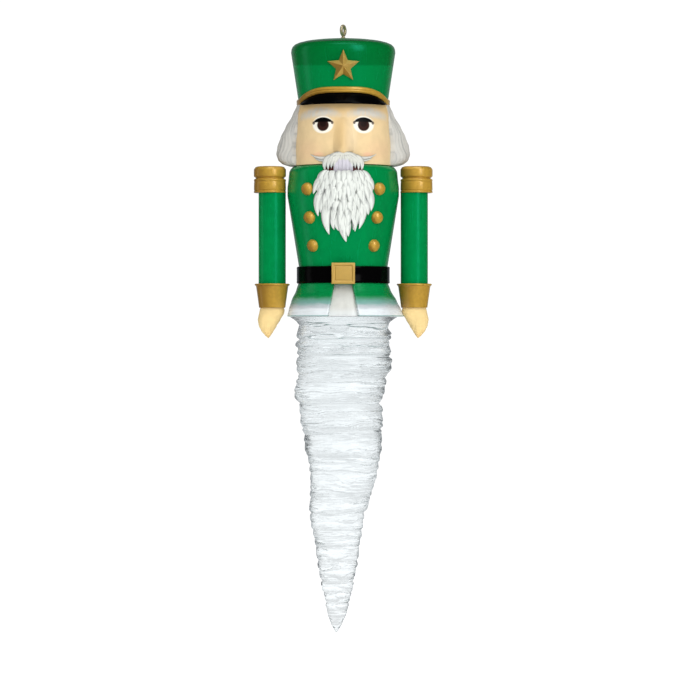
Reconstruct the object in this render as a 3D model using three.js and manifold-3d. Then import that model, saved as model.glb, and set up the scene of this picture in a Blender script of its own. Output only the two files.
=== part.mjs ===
// A hanging tree ornament: a wooden-soldier nutcracker whose legs are one long clear icicle.
// Millimetres, +Z up. The soldier faces -Y and their left arm is on +X. The origin is the point
// inside the wire eye where a hook bears, so everything else hangs below Z = 0.

import * as THREE from 'three';
import { mergeVertices } from 'three/addons/utils/BufferGeometryUtils.js';
import Module from 'manifold-3d';

const wasm = await Module();
wasm.setup();

const { degToRad, lerp, smoothstep, clamp } = THREE.MathUtils;

// ---------- driving dimensions ----------

const GAP = 0.3;               // clearance between pieces that meet
const ROUND = 30;              // sides of a body-size round
const SLIM_ROUND = 16;         // sides of an arm-size round

const EYE = { wire: 0.35, ring: 1.29, turn: degToRad(64), collarRadius: 0.65, collarHeight: 0.35 };

// Turned outlines are [radius, z] points from the bottom up.
const HAT = { apex: -3.0, baseZ: -20.7, baseRadius: 11.7, rimRadius: 13.7, rimZ: -7.2 };
const HAT_FLARE = [[HAT.baseRadius, HAT.baseZ], [12.45, -15.8], [13.1, -11.2], [HAT.rimRadius, HAT.rimZ]];
const HAT_DOME = [[13.65, -6.1], [13.3, -5.2], [12.3, -4.5], [10.4, -3.95], [6, -3.35], [0, HAT.apex]];
const BAND = { seat: 0.2, height: 1.3, proud: 0.75, chamfer: 0.2, sides: 44, levelZ: -20.0,
  archRise: 2.65, archSwell: 0.035, archFrom: degToRad(30), archTo: degToRad(75) };
const VISOR = { seat: 0.2, halfSpread: degToRad(66), reach: 2.5, endReach: 0.45, rimZ: -20.75,
  thickness: 0.6 };
const STAR = { radius: 4.43, waist: 0.43, edge: 0.5, peak: 1.5, z: -11.3 };

const HEAD = { topZ: -21.0, bottomZ: -36.6, topRadius: 11.8, bottomRadius: 13.1 };
const NOSE = { topZ: -24.9, bottomZ: -33.3, width: 4.3, topWidth: 2.4, topRise: 0.5, bottomRise: 3.1 };
const HAIR = { frontEdge: degToRad(74), topZ: -21.0, bottomZ: -36.5, fullRadius: 17.7 };
const MOUSTACHE = { halfSpan: 8.5, topZ: -33.9, thickness: 1.4 };
const JAW = { topZ: -37.35, bottomZ: -39.3, halfWidth: 5.3, thickness: 1.9 };
const BEARD = { topZ: -39.6, thickness: 2.5 };

const TORSO = { topZ: -36.9, cornerRadius: 2.1, shoulderRadius: 14.3, chestRadius: 14.8,
  chestZ: -43.6, waistRadius: 11.75, waistZ: -63.0, tuckedRadius: 11.5, bottomZ: -67.9 };
const BUTTON = { radius: 1.75, rise: 1.05, angle: degToRad(39.3), levels: [-43.3, -50.7, -58.0] };
const BELT = { topZ: -63.3, bottomZ: -67.7, outerRadius: 12.4 };
const BUCKLE = { width: 6.1, height: 5.5, depth: 1.0, rim: 0.75, recess: 0.35, z: -65.25 };
const TROUSERS = { topZ: -68.2, bottomZ: -76.4, topRadius: 10.6, bottomRadius: 13.5 };
const SKIRT = { topSlit: degToRad(12), bottomSlit: degToRad(16.5), topRadius: 11.9,
  middleRadius: 13.9, hemRadius: 14.9, kick: 1.0 };

const ARM_X = 18.75;
const EPAULETTE = { x: 19.35, radius: 4.25, topZ: -36.8, bottomZ: -43.8, grooveZ: -39.95 };
const SLEEVE = { radius: 3.6, topZ: -44.1, bottomZ: -67.6 };
const CUFF = { flangeRadius: 4.65, topZ: -67.9, flangeHeight: 0.5, coneRadius: 4.2,
  wristRadius: 3.45, bottomZ: -74.1 };
const HAND = { topZ: -74.4, tipZ: -82.1 };

const ICICLE = { topZ: -76.8, tipZ: -159.7, rows: 56, sides: 18, ledgePitch: 2.7 };

// ---------- shared shape helpers ----------

// Welds a geometry's shared corners, drops flattened triangles and turns its faces outward.
function closedBody(geometry) {
  geometry.deleteAttribute('normal');
  geometry.deleteAttribute('uv');
  const welded = mergeVertices(geometry, 1e-4);
  const kept = [];
  const corner = [new THREE.Vector3(), new THREE.Vector3(), new THREE.Vector3()];
  let volume = 0;
  for (let i = 0; i < welded.index.count; i += 3) {
    const face = [0, 1, 2].map((k) => welded.index.getX(i + k));
    if (new Set(face).size < 3) continue;
    face.forEach((v, k) => corner[k].fromBufferAttribute(welded.attributes.position, v));
    volume += corner[0].dot(corner[1].clone().cross(corner[2]));
    kept.push(face);
  }
  const outward = volume < 0 ? kept.map(([a, b, c]) => [a, c, b]) : kept;
  welded.setIndex(outward.flat());
  welded.computeVertexNormals();
  return welded;
}

// A solid of revolution about Z from [radius, z] points.
function turned(profile, sides = ROUND) {
  const points = profile.map(([radius, z]) => new THREE.Vector2(radius, z));
  return new THREE.LatheGeometry(points, sides).rotateX(Math.PI / 2);
}

// A block divided into cells whose corners are carried by place(u, v, w), each from 0 to 1.
function bentBlock([across, along, deep], place) {
  const block = new THREE.BoxGeometry(1, 1, 1, across, along, deep);
  const spots = block.attributes.position;
  for (let i = 0; i < spots.count; i += 1) {
    const spot = place(spots.getX(i) + 0.5, spots.getY(i) + 0.5, spots.getZ(i) + 0.5);
    spots.setXYZ(i, ...spot);
  }
  return closedBody(block);
}

// A point at an angle round the body: 0 is the front, a quarter turn is +X.
const around = (angle, radius, z) => [radius * Math.sin(angle), -radius * Math.cos(angle), z];

// The depth of a round front of this radius at this distance to the side.
const frontY = (radius, x) => -Math.sqrt(Math.max(radius * radius - x * x, 0));

// A smooth run of values through [position, value] stations, read at any position.
function through(stations) {
  return (position) => {
    const last = stations.length - 1;
    const rising = stations[last][0] > stations[0][0];
    const past = stations.findIndex(([at]) => (rising ? at >= position : at <= position));
    const hi = past < 0 ? last : Math.max(past, 1);
    const [fromAt, from] = stations[hi - 1];
    const [toAt, to] = stations[hi];
    return lerp(from, to, smoothstep((position - fromAt) / (toAt - fromAt), 0, 1) * 0.35
      + clamp((position - fromAt) / (toAt - fromAt), 0, 1) * 0.65);
  };
}

function toManifold(geometry) {
  const body = closedBody(geometry);
  return new wasm.Manifold(new wasm.Mesh({
    numProp: 3,
    vertProperties: new Float32Array(body.attributes.position.array),
    triVerts: new Uint32Array(body.index.array),
  }));
}

function fromManifold(solid) {
  const { vertProperties, triVerts } = solid.getMesh();
  const geometry = new THREE.BufferGeometry();
  geometry.setAttribute('position', new THREE.Float32BufferAttribute(vertProperties, 3));
  geometry.setIndex([...triVerts]);
  geometry.computeVertexNormals();
  return geometry;
}

// ---------- finishes ----------

const finish = (color, roughness, metalness = 0) =>
  new THREE.MeshStandardMaterial({ color, roughness, metalness });

const GREEN = finish('#0a7f3f', 0.25);
const GOLD = finish('#c89c3c', 0.4, 0.3);
const BLACK = finish('#0b0b0d', 0.3);
const SKIN = finish('#ecd0a0', 0.45);
const SILVER_HAIR = finish('#c9c6cb', 0.5);
const WHITE_BEARD = finish('#e6eae6', 0.5);
const TEETH_WHITE = finish('#eceaec', 0.3);
const PEARL = finish('#dcdcd2', 0.35);
const CLEAR_ICE = finish('#eaf2f5', 0.05);
const BRASS = finish('#b8995a', 0.35, 1);

const ornament = new THREE.Group();

function add(name, geometry, material, parent = ornament) {
  const mesh = new THREE.Mesh(geometry, material);
  mesh.name = name;
  parent.add(mesh);
  return mesh;
}

// ---------- hanging eye: wire ring, short stem and collar ----------

function hangingEye() {
  const ring = new THREE.TorusGeometry(EYE.ring, EYE.wire, 8, 20)
    .rotateX(Math.PI / 2)
    .rotateZ(EYE.turn)
    .translate(0, 0, EYE.wire - EYE.ring);
  const collarBottom = HAT.apex + GAP;
  const collar = turned([[0, collarBottom], [EYE.collarRadius, collarBottom],
    [EYE.collarRadius * 0.8, collarBottom + EYE.collarHeight], [0, collarBottom + EYE.collarHeight]],
    SLIM_ROUND);
  const stemTop = EYE.wire - 2 * EYE.ring;
  const stem = turned([[0, collarBottom], [EYE.wire, collarBottom], [EYE.wire, stemTop], [0, stemTop]],
    SLIM_ROUND);
  return fromManifold(toManifold(ring).add(toManifold(stem)).add(toManifold(collar)));
}

add('hanging_eye', hangingEye(), BRASS);

// ---------- hat ----------

const hatSide = through(HAT_FLARE.map(([radius, z]) => [z, radius]));

function hatCrown() {
  return closedBody(turned([[0, HAT.baseZ], ...HAT_FLARE, ...HAT_DOME]));
}

// The gold band sits level round the back and rises in an arch over the visor.
const bandRise = (angle) =>
  BAND.archRise * (1 - smoothstep(Math.abs(angle), BAND.archFrom, BAND.archTo));

function hatBand() {
  const inner = HAT.baseRadius + BAND.seat + GAP;
  const outer = HAT.baseRadius + BAND.seat + BAND.proud;
  const half = BAND.height / 2;
  const ring = turned([[inner, -half], [outer - BAND.chamfer, -half], [outer, 0],
    [outer - BAND.chamfer, half], [inner, half], [inner, -half]], BAND.sides);
  const spots = ring.attributes.position;
  for (let i = 0; i < spots.count; i += 1) {
    const angle = Math.atan2(spots.getX(i), -spots.getY(i));
    const rise = bandRise(angle);
    const swell = 1 + BAND.archSwell * (rise / BAND.archRise);
    spots.setXYZ(i, spots.getX(i) * swell, spots.getY(i) * swell,
      spots.getZ(i) + BAND.levelZ + rise);
  }
  return closedBody(ring);
}

function visor() {
  return bentBlock([22, 2, 1], (u, v, w) => {
    const angle = lerp(-VISOR.halfSpread, VISOR.halfSpread, u);
    const bulge = Math.cos((angle / VISOR.halfSpread) * (Math.PI / 2));
    const inner = HAT.baseRadius + VISOR.seat + GAP;
    const reach = lerp(VISOR.endReach, VISOR.reach, bulge);
    const underBand = BAND.levelZ + bandRise(angle) - BAND.height / 2 - GAP;
    const topZ = lerp(underBand, VISOR.rimZ, v);
    const thickness = Math.min(VISOR.thickness, 0.25 + bulge);
    return around(angle, inner + reach * v, topZ - (1 - w) * thickness);
  });
}

function hatStar() {
  const points = 5;
  const body = turned([[0, 0], [STAR.radius, 0], [STAR.radius * 0.94, STAR.edge], [0, STAR.peak]],
    2 * points);
  const spots = body.attributes.position;
  for (let i = 0; i < spots.count; i += 1) {
    const turn = Math.atan2(spots.getY(i), spots.getX(i)) + Math.PI / 2;
    const step = Math.round(turn / (Math.PI / points));
    const reach = Math.abs(step % 2) === 1 ? STAR.waist : 1;
    const x = spots.getX(i) * reach;
    const up = -spots.getY(i) * reach;
    spots.setXYZ(i, x, frontY(hatSide(STAR.z + up) + GAP, x) - spots.getZ(i), up);
  }
  return closedBody(body);
}

add('hat_crown', hatCrown(), GREEN);
add('hat_band', hatBand(), GOLD);
add('visor', visor(), BLACK);
const star = add('hat_star', hatStar(), GOLD);
star.position.set(0, 0, STAR.z);

// ---------- head, nose, hair and moustache ----------

const headRadius = through([[HEAD.topZ, HEAD.topRadius], [-27, 12.7], [HEAD.bottomZ, HEAD.bottomRadius]]);

function head() {
  const levels = [HEAD.topZ, -24, -27, HEAD.bottomZ];
  const side = levels.map((z) => [headRadius(z), z]);
  return closedBody(turned([[0, HEAD.topZ], ...side, [0, HEAD.bottomZ]]));
}

function nose() {
  return bentBlock([6, 4, 1], (u, v, w) => {
    const z = lerp(NOSE.bottomZ, NOSE.topZ, v);
    const half = lerp(NOSE.width, NOSE.topWidth, v) / 2;
    const side = 2 * u - 1;
    const round = Math.sqrt(Math.max(1 - side * side, 0));
    const rise = 0.12 + lerp(NOSE.bottomRise, NOSE.topRise, v ** 0.8) * round;
    const x = half * side;
    return [x, frontY(headRadius(z) + GAP, x) - w * rise, z];
  });
}

// The wig is a bell: close to the head under the hat, full and rounded at the jaw.
const bellRadius = through([[-21.0, 12.3], [-23.4, 13.3], [-26.6, 15.2], [-30.8, 17.3],
  [-34.0, HAIR.fullRadius], [-35.6, 17.2], [-36.5, 16.1]]);

function hair() {
  return bentBlock([24, 7, 1], (u, v, w) => {
    const angle = lerp(HAIR.frontEdge, 2 * Math.PI - HAIR.frontEdge, u);
    const z = lerp(HAIR.bottomZ, HAIR.topZ, v);
    const inner = headRadius(z) + GAP;
    const fromEdge = Math.min(angle - HAIR.frontEdge, 2 * Math.PI - HAIR.frontEdge - angle);
    const swell = Math.sqrt(smoothstep(fromEdge, -degToRad(2), degToRad(18)));
    const backShare = smoothstep(fromEdge, degToRad(20), degToRad(100));
    const outer = inner + 0.2 + (bellRadius(z) - inner - 0.2) * swell * lerp(1, 0.75, backShare);
    return around(angle, lerp(inner, Math.max(outer, inner + 0.25), w), z);
  });
}

// Each half runs out from under the nose, dips, and curls up to a thin tip.
const moustacheTop = through([[0, MOUSTACHE.topZ], [3, -34.2], [5.6, -35.3], [8.5, -34.6]]);
const moustacheBottom = through([[0, -36.0], [2, -36.9], [5, -37.0], [8.5, -35.1]]);

function moustache() {
  return bentBlock([24, 3, 1], (u, v, w) => {
    const x = lerp(-MOUSTACHE.halfSpan, MOUSTACHE.halfSpan, u);
    const reach = Math.abs(x);
    const z = lerp(moustacheBottom(reach), moustacheTop(reach), v);
    const bulk = Math.sin(Math.PI * clamp(v, 0.12, 0.88));
    const thickness = MOUSTACHE.thickness * bulk * (1 - 0.6 * (reach / MOUSTACHE.halfSpan));
    return [x, frontY(HEAD.bottomRadius + 2 * GAP, x) - 0.1 - w * thickness - (1 - w) * 0.1, z];
  });
}

add('head', head(), SKIN);
add('nose', nose(), SKIN);
add('hair', hair(), SILVER_HAIR);
add('moustache', moustache(), WHITE_BEARD);

// ---------- coat body ----------

const torsoRadius = through([[-36.9, 12.2], [-38.2, 13.9], [-39.5, TORSO.shoulderRadius],
  [TORSO.chestZ, TORSO.chestRadius], [-45.2, 14.65], [TORSO.waistZ, TORSO.waistRadius]]);

function coatBody() {
  const centreZ = TORSO.topZ - TORSO.cornerRadius;
  const corner = [0, 30, 60, 90].map((degrees) => [
    TORSO.shoulderRadius - TORSO.cornerRadius * (1 - Math.sin(degToRad(degrees))),
    centreZ + TORSO.cornerRadius * Math.cos(degToRad(degrees)),
  ]);
  return closedBody(turned([[0, TORSO.topZ], ...corner, [TORSO.chestRadius, TORSO.chestZ],
    [14.65, -45.2], [13.3, -53.5], [TORSO.waistRadius, TORSO.waistZ],
    [TORSO.tuckedRadius, TORSO.waistZ - 0.1], [TORSO.tuckedRadius, TORSO.bottomZ], [0, TORSO.bottomZ]]));
}

function button() {
  const dome = [0, 30, 60, 90].map((degrees) => [
    BUTTON.radius * Math.cos(degToRad(degrees)),
    0.25 + (BUTTON.rise - 0.25) * Math.sin(degToRad(degrees)),
  ]);
  return closedBody(turned([[0, 0], [BUTTON.radius, 0], ...dome], 14));
}

function addButtons() {
  const coatTaper = Math.atan2(TORSO.chestRadius - TORSO.waistRadius, TORSO.chestZ - TORSO.waistZ);
  for (const [side, sign] of [['right', -1], ['left', 1]]) {
    BUTTON.levels.forEach((z, row) => {
      const knob = add(`button_${side}_${row + 1}`, button(), GOLD);
      const spot = around(sign * BUTTON.angle, torsoRadius(z) + GAP + 0.1, z);
      const outward = new THREE.Vector3(...around(sign * BUTTON.angle, 1, -Math.tan(coatTaper)));
      knob.position.set(...spot);
      knob.quaternion.setFromUnitVectors(new THREE.Vector3(0, 0, 1), outward.normalize());
    });
  }
}

function belt() {
  const inner = TORSO.tuckedRadius + GAP;
  return closedBody(turned([[inner, BELT.topZ], [inner, BELT.bottomZ],
    [BELT.outerRadius - 0.15, BELT.bottomZ], [BELT.outerRadius, BELT.bottomZ + 0.2],
    [BELT.outerRadius, BELT.topZ - 0.2], [BELT.outerRadius - 0.15, BELT.topZ], [inner, BELT.topZ]]));
}

function plate(width, depth, height) {
  return new THREE.BoxGeometry(width, depth, height);
}

function buckle() {
  const hollow = plate(BUCKLE.width - 2 * BUCKLE.rim, 2 * BUCKLE.recess, BUCKLE.height - 2 * BUCKLE.rim)
    .translate(0, -BUCKLE.depth / 2, 0);
  const solid = toManifold(plate(BUCKLE.width, BUCKLE.depth, BUCKLE.height));
  return fromManifold(solid.subtract(toManifold(hollow)));
}

add('coat_body', coatBody(), GREEN);
addButtons();
add('belt', belt(), BLACK);
const clasp = add('buckle', buckle(), GOLD);
clasp.position.set(0, -(BELT.outerRadius + GAP + BUCKLE.depth / 2), BUCKLE.z);

// ---------- jaw and beard, on the front of the coat ----------

function jaw() {
  return bentBlock([8, 1, 1], (u, v, w) => {
    const x = lerp(-JAW.halfWidth, JAW.halfWidth, u);
    const z = lerp(JAW.bottomZ, JAW.topZ, v);
    return [x, frontY(TORSO.shoulderRadius + GAP, x) - w * JAW.thickness, z];
  });
}

// Seven locks end in points; the middle one hangs lowest.
const beardHem = through([[0, -44.4], [0.1, -50.0], [0.19, -47.6], [0.3, -55.0], [0.39, -51.6],
  [0.55, -57.0], [0.68, -51.4], [0.76, -53.6], [0.86, -47.4], [0.94, -48.9], [1, -43.2]]);
const beardHalfWidth = through([[-39.6, 5.0], [-41.5, 7.0], [-44.0, 7.9], [-48.0, 7.4], [-52, 6.6],
  [-58, 6.4]]);

function beard() {
  return bentBlock([24, 6, 1], (u, v, w) => {
    const z = lerp(beardHem(u), BEARD.topZ, v);
    const side = 2 * u - 1;
    const x = beardHalfWidth(z) * side;
    const bulk = 0.25 + 0.75 * Math.sqrt(Math.max(1 - side * side, 0)) * smoothstep(1 - v, -0.6, 0.25)
      * lerp(0.45, 1, smoothstep(v, 0, 0.5));
    return [x, frontY(torsoRadius(z) + 0.2 + GAP, x) - w * BEARD.thickness * bulk, z];
  });
}

add('jaw', jaw(), TEETH_WHITE);
add('beard', beard(), WHITE_BEARD);

// ---------- trousers and coat skirt ----------

function trousers() {
  return closedBody(turned([[0, TROUSERS.topZ], [TROUSERS.topRadius, TROUSERS.topZ],
    [12.4, -72.2], [TROUSERS.bottomRadius, TROUSERS.bottomZ], [0, TROUSERS.bottomZ]]));
}

const trouserRadius = through([[TROUSERS.topZ, TROUSERS.topRadius], [-72.2, 12.4],
  [TROUSERS.bottomZ, TROUSERS.bottomRadius]]);
const skirtRadius = through([[TROUSERS.topZ, SKIRT.topRadius], [-72.2, SKIRT.middleRadius],
  [TROUSERS.bottomZ, SKIRT.hemRadius]]);

// The skirt wraps round from a slit at the front; its hem kicks out a little over the left hip.
function coatSkirt() {
  return bentBlock([28, 4, 1], (u, v, w) => {
    const z = lerp(TROUSERS.bottomZ, TROUSERS.topZ, v);
    const slit = lerp(SKIRT.bottomSlit, SKIRT.topSlit, v);
    const angle = lerp(slit, 2 * Math.PI - slit, u);
    const kick = SKIRT.kick * Math.exp(-(((angle - Math.PI / 2) / 0.35) ** 2)) * (1 - v) ** 2;
    const inner = trouserRadius(z) + GAP;
    const outer = Math.max(skirtRadius(z) + kick, inner + 0.5);
    return around(angle, lerp(inner, outer, w), z);
  });
}

add('trousers', trousers(), PEARL);
add('coat_skirt', coatSkirt(), GREEN);

// ---------- arms ----------

function epaulette() {
  const { radius, topZ, bottomZ, grooveZ } = EPAULETTE;
  return closedBody(turned([[0, topZ], [radius - 0.8, topZ], [radius - 0.2, topZ - 0.5],
    [radius, topZ - 1.1], [radius, grooveZ + 0.2], [radius - 0.35, grooveZ], [radius, grooveZ - 0.2],
    [radius, bottomZ + 0.3], [radius - 0.2, bottomZ], [0, bottomZ]], SLIM_ROUND));
}

function sleeve() {
  return closedBody(turned([[0, SLEEVE.topZ], [SLEEVE.radius, SLEEVE.topZ],
    [SLEEVE.radius, SLEEVE.bottomZ], [0, SLEEVE.bottomZ]], SLIM_ROUND));
}

function cuff() {
  const { flangeRadius, topZ, flangeHeight, coneRadius, wristRadius, bottomZ } = CUFF;
  return closedBody(turned([[0, topZ], [flangeRadius, topZ], [flangeRadius, topZ - flangeHeight],
    [coneRadius, topZ - flangeHeight - 0.1], [wristRadius, bottomZ], [0, bottomZ]], SLIM_ROUND));
}

// A mitten: stations give how far it reaches away from the body and towards it at each height.
const handOut = through([[HAND.topZ, 3.2], [-77.3, 3.75], [-79.5, 3.3], [-81.2, 2.0], [HAND.tipZ, 1.1]]);
const handIn = through([[HAND.topZ, 3.2], [-75.1, 3.4], [-77.3, 2.3], [-79.5, 1.0], [-81.2, -0.2],
  [HAND.tipZ, -0.8]]);
const handDepth = through([[HAND.topZ, 2.6], [-77.3, 2.5], [-80, 1.7], [HAND.tipZ, 0.5]]);

function hand(outward) {
  const sides = 14;
  const rows = [HAND.topZ, -75.1, -76.2, -77.3, -78.4, -79.5, -80.4, -81.2, HAND.tipZ];
  const body = turned([[0, rows[0]], ...rows.map((z) => [1, z]), [0, HAND.tipZ]], sides);
  const spots = body.attributes.position;
  for (let i = 0; i < spots.count; i += 1) {
    const z = spots.getZ(i);
    const middle = (handOut(z) - handIn(z)) / 2;
    const half = (handOut(z) + handIn(z)) / 2;
    spots.setXYZ(i, outward * (middle + half * spots.getX(i)), handDepth(z) * spots.getY(i), z);
  }
  return closedBody(body);
}

for (const [side, sign] of [['right', -1], ['left', 1]]) {
  const arm = new THREE.Group();
  arm.position.x = sign * ARM_X;
  ornament.add(arm);
  const pad = add(`epaulette_${side}`, epaulette(), GOLD, arm);
  pad.position.x = sign * (EPAULETTE.x - ARM_X);
  add(`sleeve_${side}`, sleeve(), GREEN, arm);
  add(`cuff_${side}`, cuff(), GOLD, arm);
  add(`hand_${side}`, hand(sign), SKIN, arm);
}

// ---------- icicle ----------

const icicleRadius = through([[ICICLE.topZ, 14.2], [-77.6, 12.5], [-80, 12.2], [-88, 12.3],
  [-95, 11.9], [-106, 10.4], [-119, 8.5], [-130, 7.0], [-141, 5.2], [-152, 3.3], [-156, 2.2],
  [ICICLE.tipZ, 0.25]]);
const icicleLean = through([[ICICLE.topZ, 0], [-96, -0.4], [-112, 0.1], [-120, 0], [-129, -1.5],
  [ICICLE.tipZ, -1.8]]);

// Frozen drips: each ledge swells downward and tucks back in, and wanders as it goes round.
function ledge(angle, z) {
  const wander = 0.7 * Math.sin(angle + z * 0.11) + 0.35 * Math.sin(3 * angle - z * 0.23);
  const phase = (ICICLE.topZ - z + wander) / ICICLE.ledgePitch;
  const within = phase - Math.floor(phase);
  const fade = smoothstep(z, ICICLE.tipZ, -148) * smoothstep(-z, -ICICLE.topZ, 80);
  return 0.42 * fade * (smoothstep(within, 0, 0.75) - smoothstep(within, 0.75, 1) - 0.4);
}

function icicle() {
  const rows = [];
  for (let i = 0; i <= ICICLE.rows; i += 1) rows.push(lerp(ICICLE.topZ, ICICLE.tipZ, i / ICICLE.rows));
  const body = turned([[0, ICICLE.topZ], ...rows.map((z) => [1, z]), [0, ICICLE.tipZ]], ICICLE.sides);
  const spots = body.attributes.position;
  for (let i = 0; i < spots.count; i += 1) {
    const [x, y, z] = [spots.getX(i), spots.getY(i), spots.getZ(i)];
    const angle = Math.round(Math.atan2(y, x) * 1e5) / 1e5;
    const radius = Math.max(icicleRadius(z) + ledge(angle, z), 0.1);
    spots.setXYZ(i, x * radius + icicleLean(z), y * radius, z);
  }
  return closedBody(body);
}

add('icicle', icicle(), CLEAR_ICE);

export default ornament;
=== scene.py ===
"""Nutcracker icicle ornament: a painted toy soldier whose legs are one clear, ridged icicle.

Laid out as an add-on and run as a script: sizes and colours are properties, each group of pieces is
an operator, and main() runs them in order. Lengths in the outlines are millimetres.
"""

import math

import bpy
from mathutils import Matrix, Vector, noise


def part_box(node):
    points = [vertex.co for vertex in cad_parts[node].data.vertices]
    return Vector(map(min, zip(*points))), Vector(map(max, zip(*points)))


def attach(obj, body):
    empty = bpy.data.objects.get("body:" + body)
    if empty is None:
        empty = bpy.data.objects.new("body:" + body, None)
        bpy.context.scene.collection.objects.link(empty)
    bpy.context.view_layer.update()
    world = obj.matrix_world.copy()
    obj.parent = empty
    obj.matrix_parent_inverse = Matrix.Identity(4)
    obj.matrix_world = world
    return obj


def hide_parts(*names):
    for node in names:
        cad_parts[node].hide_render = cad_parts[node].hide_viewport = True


bl_info = {
    "name": "Nutcracker Icicle Ornament",
    "version": (1, 0, 0),
    "blender": (4, 5, 0),
    "location": "3D Viewport > Sidebar > Ornament",
    "description": "Builds a hanging nutcracker ornament with clear icicle legs",
    "category": "Object",
}

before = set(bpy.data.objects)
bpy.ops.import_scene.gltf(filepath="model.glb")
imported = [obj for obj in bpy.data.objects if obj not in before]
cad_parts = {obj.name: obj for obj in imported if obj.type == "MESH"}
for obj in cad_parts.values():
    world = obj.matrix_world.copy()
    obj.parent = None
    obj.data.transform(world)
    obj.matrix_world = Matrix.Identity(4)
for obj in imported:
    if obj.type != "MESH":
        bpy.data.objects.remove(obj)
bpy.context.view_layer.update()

MM = 0.001
BODY = "root"


def box_mm(node):
    """Lowest and highest corner of a frame node, in millimetres."""
    low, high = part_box(node)
    return low / MM, high / MM


HAT_LOW, HAT_HIGH = box_mm("hat_crown")
HEAD_LOW, HEAD_HIGH = box_mm("head")
COAT_LOW, COAT_HIGH = box_mm("coat_body")
BELT_LOW, BELT_HIGH = box_mm("belt")
SKIRT_LOW, SKIRT_HIGH = box_mm("coat_skirt")
SLEEVE_LOW, SLEEVE_HIGH = box_mm("sleeve_left")
PAD_LOW, PAD_HIGH = box_mm("epaulette_left")
CUFF_LOW, CUFF_HIGH = box_mm("cuff_left")
HAND_LOW, HAND_HIGH = box_mm("hand_left")
ICE_LOW, ICE_HIGH = box_mm("icicle")
ARM_X = (SLEEVE_LOW.x + SLEEVE_HIGH.x) / 2
PAD_X = (PAD_LOW.x + PAD_HIGH.x) / 2


# ---------- properties: what a user would change ----------


def length(name, description, millimetres):
    """A length property, given in millimetres and kept in metres."""
    return bpy.props.FloatProperty(
        name=name, description=description, default=millimetres * MM, min=0.0, unit="LENGTH"
    )


def colour(name, description, value):
    """A linear colour property."""
    return bpy.props.FloatVectorProperty(
        name=name, description=description, default=value, size=3, min=0.0, max=1.0, subtype="COLOR"
    )


class OrnamentSizes(bpy.types.PropertyGroup):
    """Sizes of the painted soldier and of the icicle's ledges."""

    hat_foot: length("Hat foot", "Radius of the hat above its band", 11.65)
    hat_rim: length("Hat rim", "Radius of the hat at its widest", HAT_HIGH.x + 0.15)
    band_height: length("Band height", "Height of the gold hat band", 1.6)
    star_radius: length("Star radius", "From the star's centre to a point", 4.4)
    eye_width: length("Eye width", "Half the width of the painted white of an eye", 2.65)
    eye_height: length("Eye height", "Half the height of the painted white of an eye", 2.25)
    eye_spread: length("Eye spread", "From the middle of the face to the middle of an eye", 5.3)
    wig_radius: length("Wig radius", "Radius of the wig at its fullest", 17.6)
    strand: length("Hair strand", "Spacing of the wig's carved strands", 0.95)
    button_radius: length("Button radius", "Radius of a coat button", 1.65)
    belt_radius: length("Belt radius", "Outer radius of the belt", BELT_HIGH.x)
    ledge_pitch: length("Ledge pitch", "Average height of one frozen ledge", 2.55)
    ledge_depth: length("Ledge depth", "How far a frozen ledge stands out", 0.58)


class OrnamentColours(bpy.types.PropertyGroup):
    """Paint colours, as linear values."""

    green: colour("Green", "Coat and hat enamel", (0.0002, 0.232, 0.054))
    gold: colour("Gold", "Band, star, buttons, buckle, shoulders and cuffs", (0.66, 0.385, 0.045))
    # Painted highlight: a paler gold that stands in for the soft highlight on the buckle and the star.
    gold_highlit: colour("Pale gold", "Gold paint of the buckle and the star", (0.66, 0.44, 0.13))
    # The darker gold of the random patches, and also the painted shade on faces turned down or to the left.
    gold_shade: colour("Gold shade", "Gold paint where it lies deep", (0.33, 0.16, 0.014))
    black: colour("Black", "Visor and belt enamel", (0.0012, 0.0011, 0.0012))
    skin: colour("Skin", "Face paint", (0.80, 0.60, 0.33))
    hand: colour("Hand", "Hand paint", (0.86, 0.64, 0.285))
    blush: colour("Blush", "Cheek paint", (0.86, 0.42, 0.30))
    iris: colour("Iris", "Eye paint", (0.035, 0.012, 0.008))
    silver: colour("Silver", "Wig paint", (0.565, 0.55, 0.505))
    white: colour("White", "Beard and moustache paint", (0.77, 0.80, 0.75))
    smoke: colour("Smoke", "Greyer white of the moustache", (0.66, 0.655, 0.59))
    # Painted shade: the grey laid into the carved grooves of the wig, moustache and beard.
    groove_shade: colour("Wash", "Grey wash in the carved hair", (0.27, 0.28, 0.28))
    tooth: colour("Tooth", "Teeth paint", (0.64, 0.62, 0.68))
    lip: colour("Lip", "Mouth paint behind the teeth", (0.10, 0.012, 0.010))
    pearl: colour("Pearl", "Trouser paint", (0.64, 0.645, 0.60))
    frost: colour("Frost", "Silver frost at the coat's hem", (0.50, 0.54, 0.56))
    snow: colour("Snow", "White frost at the coat's hem", (0.76, 0.80, 0.82))
    ice: colour("Ice", "Tint of light that crosses the icicle", (0.90, 0.965, 0.985))
    brass: colour("Brass", "Wire of the hanging eye", (0.66, 0.58, 0.36))


def mm(name):
    """One of the size properties, in millimetres."""
    return getattr(bpy.context.scene.ornament_sizes, name) / MM


def tint(name):
    """One of the colour properties, as a shader colour."""
    return (*getattr(bpy.context.scene.ornament_colours, name), 1.0)


# ---------- shader helpers ----------


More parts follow.
